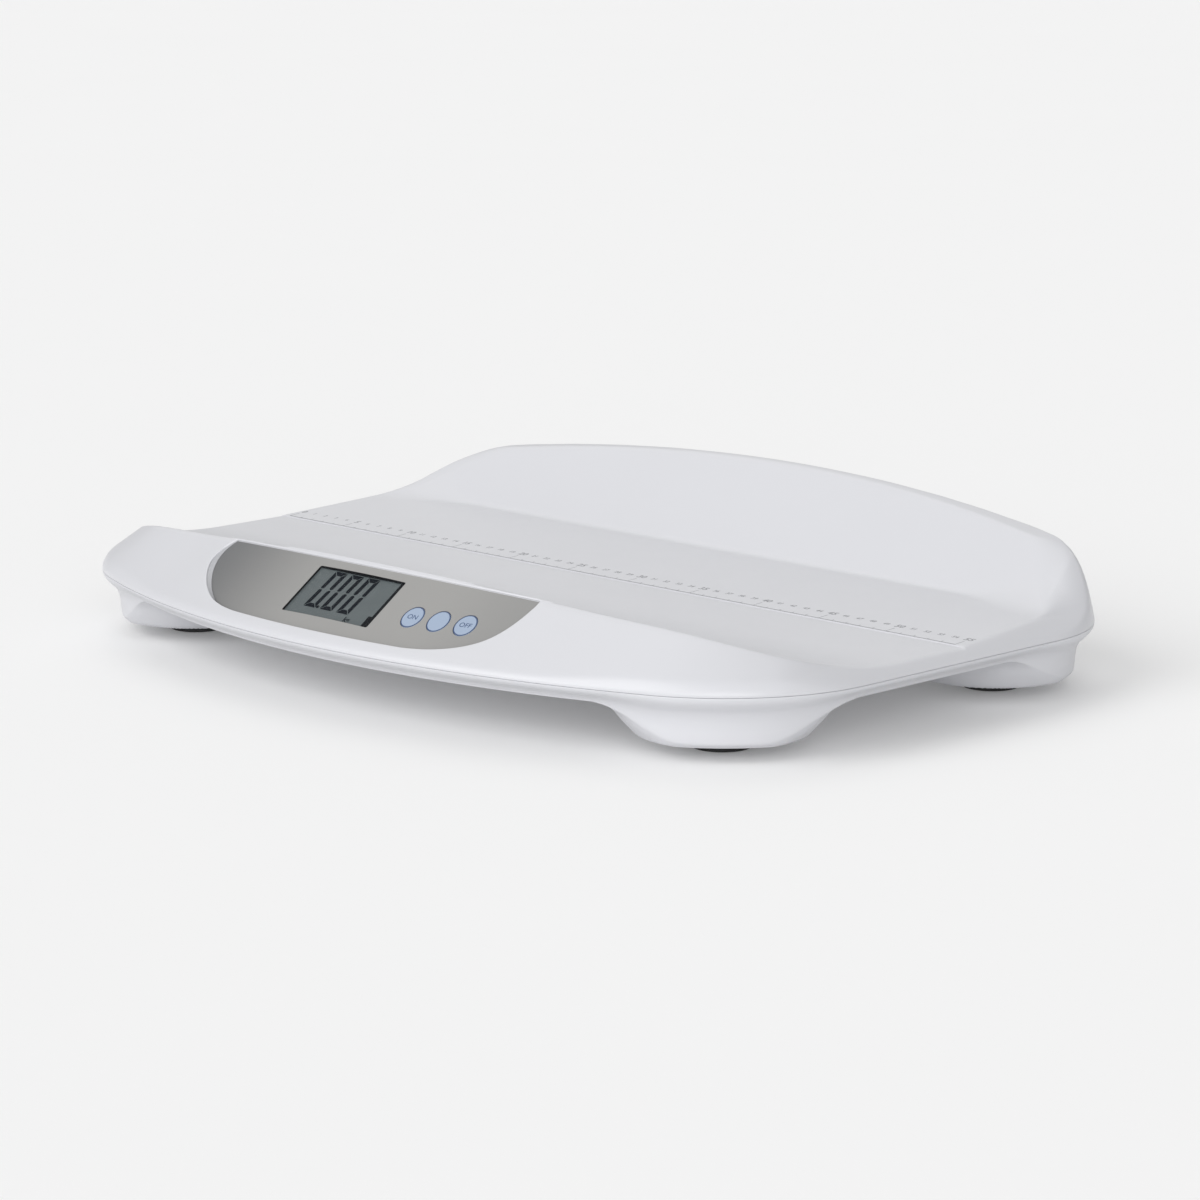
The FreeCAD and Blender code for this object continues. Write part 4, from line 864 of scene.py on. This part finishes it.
for name, finish, node, slot in (("lens", lensClear, "display_lens", "clear_lens"),
                                 ("glass", glassGrey, "display_module", "display_glass")):
    low, high = depths[name]
    makePiece(f"display_{name}", *prism(windowOutline(-0.05, 1), -low, -high, onWindow), finish, stands=[node],
              slot=slot, sharp=30)
makePiece("display_surround", *surround(), frameBlack, stands=["display_frame"], slot="black_plastic", sharp=30)
print("display made")


# buttons

cap = Settings(height=0.17, stem=2, flange=8.5, ring=(0.82, 0.1), word=4.6)


def makeButton(name, turn, word):
    place = onSheet(press.back, turn)
    r, stem, flange = press.radius, cap.stem, cap.flange
    profile = [(0, -6), (stem - 0.2, -6), (stem, -5.8), (stem, -4.8), (flange - 0.15, -4.8), (flange, -4.65),
               (flange, -3.95), (flange - 0.15, -3.8), (r, -3.8), (r, -0.12), (r - 0.06, 0), (r - 0.2, 0.09),
               (r - 0.38, 0.12), (r - 0.8, 0.13), (r - 1.6, 0.14), (r / 2, 0.16), (0, cap.height)]
    points, faces = lathe(profile, 96)
    middles = [points[list(face)].mean(0) for face in faces]
    marks = [int(z > -0.1 and r - cap.ring[0] < hypot(x, y) < r - cap.ring[1]) for x, y, z in middles]
    points = points * (press.narrow, 1, 1)
    makePiece(f"button_cap_{name}", placed(points, place), faces, [buttonBlue, buttonInk], f"button_{name}",
              [f"button_{name}"], "blue_button", 35, marks)
    if word:
        lift = place @ Matrix.Translation((0, 0, 0.18))
        makePiece(f"button_word_{name}", *wordPoints(word, cap.word, lift, 0.02, 0.015, 6), buttonInk,
                  f"button_{name}", slot="blue_button", sharp=20)


for name, word in (("left", "ON"), ("middle", None), ("right", "OFF")):
    makeButton(name, buttonTurn[name], word)
print("buttons made")


# base

base = Settings(
    bottom=29.5, skin=3, podBottom=8.5, podRadius=49, podRound=3, waistRadius=56, waist=18, flare=16,
    flareRadius=26, frontPod=(218, -97), backPod=(225, 118), podBlend=1.5, rimRound=3, round=11,
    roundFade=(10, 9), foot=17.8, screwHole=3.2, postSpots=((120, -168), (258, 12), (120, 172), (40, 60)),
    levels=(38.1, 37.5, 36.8, 36, 35.2, 34.3, 33.4, 32.5, 31.6, 30.7, 29.8, 28.9, 28, 27, 25.8, 24.4, 22.8, 21,
            19, 17, 15, 13.4, 12, 11, 10.2, 9.6, 9.1, 8.75), flatInsets=(14.2, 15.4, 17, 19, 21),
    tuck=((8.5, 13.5), (10.6, 11.5), (13.9, 10.8), (20.5, 10.2), (25.6, 9), (29.5, 6.7), (32.8, 3.2),
          (34.6, 1.5), (36.1, 0.55), (37.3, 0.15), (38.5, 0)))  # tuck: (height, inset)
pods = {f"{end}_{name}": (side * base[f"{end}Pod"][0], base[f"{end}Pod"][1])
        for end in ("front", "back") for name, side in sides}
casePosts = [(side * x, y) for x, y in base.postSpots for side in (-1, 1)]


def smoothTable(table):  # a smooth curve through (height, inset), in fine steps
    xs, ys = np.array(table, float).T
    slopes = np.gradient(ys, xs)
    fine = np.linspace(xs[0], xs[-1], 400)
    index = np.clip(np.searchsorted(xs, fine) - 1, 0, len(xs) - 2)
    width = xs[index + 1] - xs[index]
    t = (fine - xs[index]) / width
    value = ((2 * t ** 3 - 3 * t ** 2 + 1) * ys[index] + (t ** 3 - 2 * t ** 2 + t) * width * slopes[index]
             + (-2 * t ** 3 + 3 * t ** 2) * ys[index + 1] + (t ** 3 - t ** 2) * width * slopes[index + 1])
    return fine, value


tuckHeight, tuckInset = smoothTable(base.tuck)


def podCurve():  # profile of a pod, from its flat bottom to where it flares out into the base
    r, c, low = base.podRadius, base.podRound, base.podBottom
    line = [(0, low), (r - c, low)]
    line += [(r - c + c * sin(a), low + c - c * cos(a)) for a in np.linspace(0, pi / 2 * 0.62, 8)]
    start, end = (base.waistRadius, base.waist), (base.waistRadius + base.flare, base.bottom)
    line.append(start)
    cx, cz = arcCentre(start, end, base.flareRadius)
    for x in np.linspace(start[0], end[0], 16)[1:]:
        line.append((x, cz + sqrt(max(base.flareRadius ** 2 - (x - cx) ** 2, 0))))
    return np.array(line).T


podRadii, podHeights = podCurve()


def baseBottom(x, y, inset=None):  # underside: pods, and the dish that tucks in below the seam
    depth = insetAt(x, y) if inset is None else np.full_like(x, inset)
    low = np.full_like(x, base.bottom)
    for px, py in pods.values():
        pod = np.interp(np.hypot(x - px, y - py), podRadii, podHeights, right=base.bottom + 9)
        low = softMin(low, pod, base.podBlend)
    dish = np.interp(depth, tuckInset[::-1], tuckHeight[::-1])
    dish = np.where(depth > tuckInset[0], base.podBottom - 6, dish)
    return softMax(low, dish, base.rimRound + base.round * fade(np.maximum(low, dish), *base.roundFade))


def insideBase(x, y, inset=None):
    return np.minimum(baseBottom(x, y, inset) + base.skin, seam - 0.6)


insets = []
for level in base.levels:
    inset = float(np.interp(level, tuckHeight, tuckInset))
    if not insets or inset > insets[-1] + 0.02:
        insets.append(inset)
insets = insets[1:] + list(base.flatInsets)
baseRings = seamRings(-1) + [(inset, baseBottom) for inset in insets]
baseInner = [(3, seam - tray.gap), (3.05, seam - 0.6)] + [(inset, insideBase) for inset in (6, 10, 14, 17, 21)]
baseShell = makePiece("base_body", *shellFromPlan(baseRings, baseInner, baseBottom, insideBase, True), paleWhite,
                      stands=["base_shell"], slot="white_shell", sharp=50)

bay = Settings(gap=0.3, wall=2, back=-104.7)  # its other sides follow the door and the cells
doorLow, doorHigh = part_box("battery_door")
bayHalf, bayFront = doorHigh.x / mm + bay.gap, doorLow.y / mm - bay.gap


def bayOutline(grow):
    low, high, half = bayFront - grow, bay.back + grow, bayHalf + grow
    return [(-half, low), (half, low), (half, high), (-half, high)]


cutters = [cutter(ringOutline(x, y, base.foot), 0, 14) for x, y in pods.values()]
cutters += [cutter(ringOutline(x, y, base.screwHole, 32), 20, 31.7) for x, y in casePosts]
cutAway(baseShell, *cutters, cutter(bayOutline(0), 20, 36))
shadeSmooth(baseShell.data, 40)


def bayWalls():  # four walls and a roof round the cells, open at the bottom
    t, low, top = bay.wall, base.bottom + 0.4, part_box("battery_front_left")[1].z / mm + bay.gap
    points = [(x, y, z) for grow, z in ((0, low), (t, low), (0, top), (t, top + t)) for x, y in bayOutline(grow)]
    return points, quads(0, 4, 4) + quads(8, 0, 4) + quads(4, 12, 4) + [(11, 10, 9, 8), (12, 13, 14, 15)]


makePiece("bay_walls", *bayWalls(), paleWhite, slot="white_shell", sharp=20)
print("base made", len(baseShell.data.polygons))


# feet

foot = Settings(radius=17, thick=8, flange=21.5, stem=5, top=16.9)


def makeFoot(name, x, y):
    r, t, flange, stem, top = foot.values()
    profile = [(0, 0.35), (9, 0.35), (9.4, 0), (11.4, 0), (11.8, 0.35), (13, 0.35), (13.4, 0), (15.6, 0),
               (16.4, 0.2), (16.85, 0.7), (r, 1.4), (r, t - 0.3), (r - 0.3, t), (0, t)]
    points, faces = lathe(profile, 80)
    makePiece(f"foot_rubber_{name}", points + (x, y, 0), faces, padRubber,
              stands=[f"foot_pad_{name}"], slot="black_rubber")
    cup = [(0, t), (r - 0.3, t), (r, t + 0.3), (r, 12), (flange - 0.3, 12), (flange, 12.3), (flange, 13.2),
           (flange - 0.3, 13.5), (stem, 13.5), (stem, top - 0.3), (stem - 0.3, top), (0, top)]
    points, faces = lathe(cup, 80)
    makePiece(f"foot_holder_{name}", points + (x, y, 0), faces, paleWhite,
              stands=[f"foot_cup_{name}"], slot="white_shell")


for name, (x, y) in pods.items():
    makeFoot(name, x, y)
print("feet made")


# ruler along the tray, as numbers and fine ticks

ruler = Settings(
    first=-275, pitch=10, count=56, line=38.9, size=4.5, bigSize=6.6, tickStart=26.6, shortTick=2.2, longTick=8,
    tickWidth=0.34, rule=0.9, thick=0.04, lift=0.03)
tilt = atan((tray.creaseHeight - tray.floor - tray.step) / (tray.crease - tray.ruler))
onFloor = (Matrix.Translation((0, tray.ruler, tray.floor + tray.step + ruler.lift))
           @ Matrix.Rotation(tilt, 4, "X"))


def rulerNumbers():
    parts = []
    for number in range(ruler.count):
        big = number % 5 == 0  # every fifth number is larger
        x = ruler.first + ruler.pitch * number
        place = onFloor @ Matrix.Translation((x, ruler.line - tray.ruler, 0))
        parts.append(wordPoints(str(number), ruler["bigSize" if big else "size"], place, 0.1 if big else 0.04))
    return joined(parts)


makePiece("ruler_numbers", *rulerNumbers(), rulerInk, slot="white_shell", sharp=20)


class GeometryTree(NodeTree):  # a tree of geometry nodes with named inputs, which makes one piece
    def __init__(self, name):
        super().__init__(bpy.data.node_groups.new(name, "GeometryNodeTree"))
        self.sizes = {}
        self.tree.interface.new_socket("Geometry", in_out="OUTPUT", socket_type="NodeSocketGeometry")

    def input(self, name, value, kind="NodeSocketFloat"):
        socket = self.tree.interface.new_socket(name, in_out="INPUT", socket_type=kind)
        self.sizes[socket.identifier] = value
        return self.add("NodeGroupInput", output=name)

    def vector(self, x=0.0, y=0.0, z=0.0):
        return self.add("ShaderNodeCombineXYZ", {"X": x, "Y": y, "Z": z})

    def make(self, geometry, finish, name):
        whole = self.add("GeometryNodeRealizeInstances", {"Geometry": geometry})
        dressed = self.add("GeometryNodeSetMaterial", {"Geometry": whole, "Material": finish})
        out = self.tree.nodes.new("NodeGroupOutput")
        self.tree.links.new(dressed.socket, out.inputs[0])
        piece = addObject(name, bpy.data.meshes.new(name))
        modifier = piece.modifiers.new("made", "NODES")
        modifier.node_group = self.tree
        for key, value in self.sizes.items():
            modifier[key] = value
        bake(piece)
        return piece


def rulerTicks():
    tree = GeometryTree("rulerTicks")
    count, thick = tree.input("Count", ruler.count, "NodeSocketInt"), ruler.thick * mm
    sizes = (("First mark", ruler.first), ("Pitch", ruler.pitch), ("Tick width", ruler.tickWidth),
             ("Short tick", ruler.shortTick), ("Long tick", ruler.longTick), ("Rule width", ruler.rule),
             ("Tick start", ruler.tickStart - tray.ruler),
             ("Rule length", ruler.pitch * (ruler.count - 1)))
    first, pitch, width, short, long, ruleWidth, start, ruleLength = (
        tree.input(name, size * mm) for name, size in sizes)
    line = tree.add("GeometryNodeMeshLine", {
        "Count": count, "Start Location": tree.vector(first), "Offset": tree.vector(pitch)})
    index = tree.add("GeometryNodeInputIndex")
    length = short + (long - short) * (index % 5.0 < 0.5)
    bar = tree.add("GeometryNodeMeshCube", {"Size": (1, 1, 1)})
    bar = tree.add("GeometryNodeTransform", {"Geometry": bar, "Translation": (0, 0.5, 0)})
    marks = tree.add("GeometryNodeInstanceOnPoints", {
        "Points": line, "Instance": bar, "Scale": tree.vector(width, length, thick)})
    marks = tree.add("GeometryNodeTransform", {"Geometry": marks, "Translation": tree.vector(0, start)})
    rule = tree.add("GeometryNodeTransform", {
        "Geometry": bar, "Scale": tree.vector(ruleLength, ruleWidth, thick), "Translation": tree.vector(0, 0.0001)})
    marks = tree.add("GeometryNodeJoinGeometry", {"Geometry": marks})
    tree.tree.links.new(rule.socket, marks.socket.node.inputs[0])
    piece = tree.make(marks, rulerInk, "ruler_ticks")
    place = onFloor.copy()
    place.translation *= mm
    piece.data.transform(place)
    return settle(piece, "scale")


rulerTicks()
print("ruler made")


# screws with a cross in the head

screw = Settings(head=2.9, height=2, shank=1.2, length=10.8, thread=0.9, sunk=29.7)


def crossScrew():  # head down, with a thread in plain rings
    r, height, shank, length, thread, _ = screw.values()
    profile = [(0, height + length), (shank * 0.5, height + length - shank), (shank, height + length - 2 * shank)]
    level = height + length - 2 * shank
    while level > height + thread:
        profile += [(shank, level), (shank * 0.8, level - thread / 2)]
        level -= thread
    profile += [(shank, height), (r, height), (r, height * 0.45), (r * 0.93, height * 0.2), (r * 0.7, 0.04), (0, 0)]
    points, faces = lathe(profile[::-1], 28)
    model = makePiece("screw", points, faces, screwSteel, body=None)
    return cutAway(model, *(cutter([(-a, -b), (a, -b), (a, b), (-a, b)], -0.5, height * 0.55)
                            for a, b in ((r * 0.62, r * 0.14), (r * 0.14, r * 0.62))))


def screwsAt(name, node, model, spots):  # one screw at each spot, turned as the spot is
    tree = GeometryTree(name)
    size = tree.input("Size", 1.0)
    holder = addObject("spots", bpy.data.meshes.new("spots"))
    holder.data.from_pydata([tuple(Vector(spot.translation) * mm) for spot in spots], [], [])
    turn = holder.data.attributes.new("turn", "FLOAT_VECTOR", "POINT")
    angles = [tuple(spot.to_euler()) for spot in spots]
    turn.data.foreach_set("vector", np.array(angles, np.float32).ravel())
    points = tree.add("GeometryNodeObjectInfo", {"Object": holder}, output="Geometry")
    shape = tree.add("GeometryNodeObjectInfo", {"Object": model}, output="Geometry")
    angle = tree.add("GeometryNodeInputNamedAttribute", {"Name": "turn"}, data_type="FLOAT_VECTOR")
    placedScrews = tree.add("GeometryNodeInstanceOnPoints", {
        "Points": points, "Instance": shape, "Rotation": angle, "Scale": tree.vector(size, size, size)})
    piece = tree.make(placedScrews, screwSteel, name)
    bpy.data.objects.remove(holder)
    shadeSmooth(piece.data, 30)
    return settle(piece, "scale", [node])


caseScrew = crossScrew()
spots = [Matrix.Translation((x, y, screw.sunk)) @ Matrix.Rotation(0.4 * i, 4, "Z")
         for i, (x, y) in enumerate(casePosts)]
screwsAt("case_screw_set", "case_screws", caseScrew, spots)
bpy.data.objects.remove(caseScrew)
print("screws made")


# batteries, bay door and springs

cell = Settings(length=50.5, radius=7.25, tip=2.75)


def makeCell(name, side, y, z):
    length, r, tip = cell.values()
    profile = [(0, 0.15), (r - 2.2, 0.15), (r - 1.4, 0), (r - 0.35, 0), (r, 0.35), (r, length - 2),
               (r - 0.3, length - 1.6), (r - 1.6, length - 1.45), (tip + 0.25, length - 1.45),
               (tip, length - 1.3), (tip, length - 0.25), (tip - 0.25, length), (0, length)]
    points, faces = lathe(profile, 56)
    marks = [1 if abs(hypot(*points[list(face)].mean(0)[:2]) - r) > 0.5 else 0 for face in faces]
    place = Matrix.Translation((0 if side > 0 else -length, y, z)) @ Matrix.Rotation(pi / 2, 4, "Y")
    makePiece(f"cell_{name}", placed(points, place), faces, [wrap, tinPlate], stands=[f"battery_{name}"],
              slot="battery_case", marks=marks)


for row in ("front", "back"):
    for name, side in sides:
        low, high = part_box(f"battery_{row}_{name}")
        makeCell(f"{row}_{name}", side, (low.y + high.y) / 2 / mm, (low.z + high.z) / 2 / mm)

# inner solids that keep their shape
finishOf = {"battery_door": doorWhite, "display_board": boardGreen, "key_board": boardGreen,
            "key_switches": switchBlack, "battery_contacts": springSteel, "holder_screws": screwSteel,
            "board_screws": screwSteel}
for name in pods:
    finishOf[f"load_cell_{name}"] = cellSteel
    finishOf[f"cell_holder_{name}"] = paleWhite
for name, finish in finishOf.items():
    for holder in cadNode[name].material_slots:
        holder.material = finish
print("inner parts finished")


# studio, with the turn, height and power of each lamp

studio = Settings(
    sky=0.452, glow=0.105, reach=60, spread=50, lens=127.22, sensor=36, place=(1.73134, -1.70228, 0.52805),
    right=(0.70710678, 0.70710678, 0), up=(-0.14097442, 0.14097442, 0.9799247),
    lamps={"low": (45, 10, 1.8), "front": (-14, 32, 1.5), "right": (95, 40, 0.12), "back": (225, 32, 0.3),
           "high": (240, 60, 0.33)})


def makeFloor():
    f = Finish("floorPaper")
    paper = f.surface(f.blend(f.noise(3, 2), (0.8, 0.8, 0.8), (0.806, 0.806, 0.806)), 0.9, gloss=0.1,
                      more={"Emission Color": (1, 1, 1), "Emission Strength": studio.glow})
    mesh = bpy.data.meshes.new("floor")
    reach = studio.reach
    corners = ((-reach, -reach, 0), (reach, -reach, 0), (reach, reach, 0), (-reach, reach, 0))
    mesh.from_pydata(corners, [], [(0, 1, 2, 3)])
    mesh.materials.append(paper)
    floor = addObject("floor", mesh)


def makeLight():  # an even sky and five soft lamps
    world = bpy.data.worlds.new("studio")
    world.use_nodes = True
    sky = world.node_tree.nodes["Background"].inputs
    sky["Color"].default_value, sky["Strength"].default_value = (1, 1, 1, 1), studio.sky
    bpy.context.scene.world = world
    for name, (turn, height, power) in studio.lamps.items():
        turn, height = radians(turn), radians(height)
        source = Vector((sin(turn) * cos(height), -cos(turn) * cos(height), sin(height)))
        lamp = bpy.data.lights.new(name, "SUN")
        lamp.energy, lamp.angle = power, radians(studio.spread)
        holder = addObject(name, lamp)
        holder.rotation_mode = "QUATERNION"
        holder.rotation_quaternion = source.to_track_quat("Z", "Y")


def makeCamera():
    lens = bpy.data.cameras.new("camera")
    lens.lens, lens.sensor_width = studio.lens, studio.sensor
    lens.clip_start, lens.clip_end = 0.05, 200
    camera = addObject("camera", lens)
    right, up = Vector(studio.right), Vector(studio.up)
    place = Matrix((right, up, right.cross(up))).transposed().to_4x4()
    place.translation = Vector(studio.place)
    camera.matrix_world = place
    bpy.context.scene.camera = camera


makeFloor()
makeLight()
makeCamera()
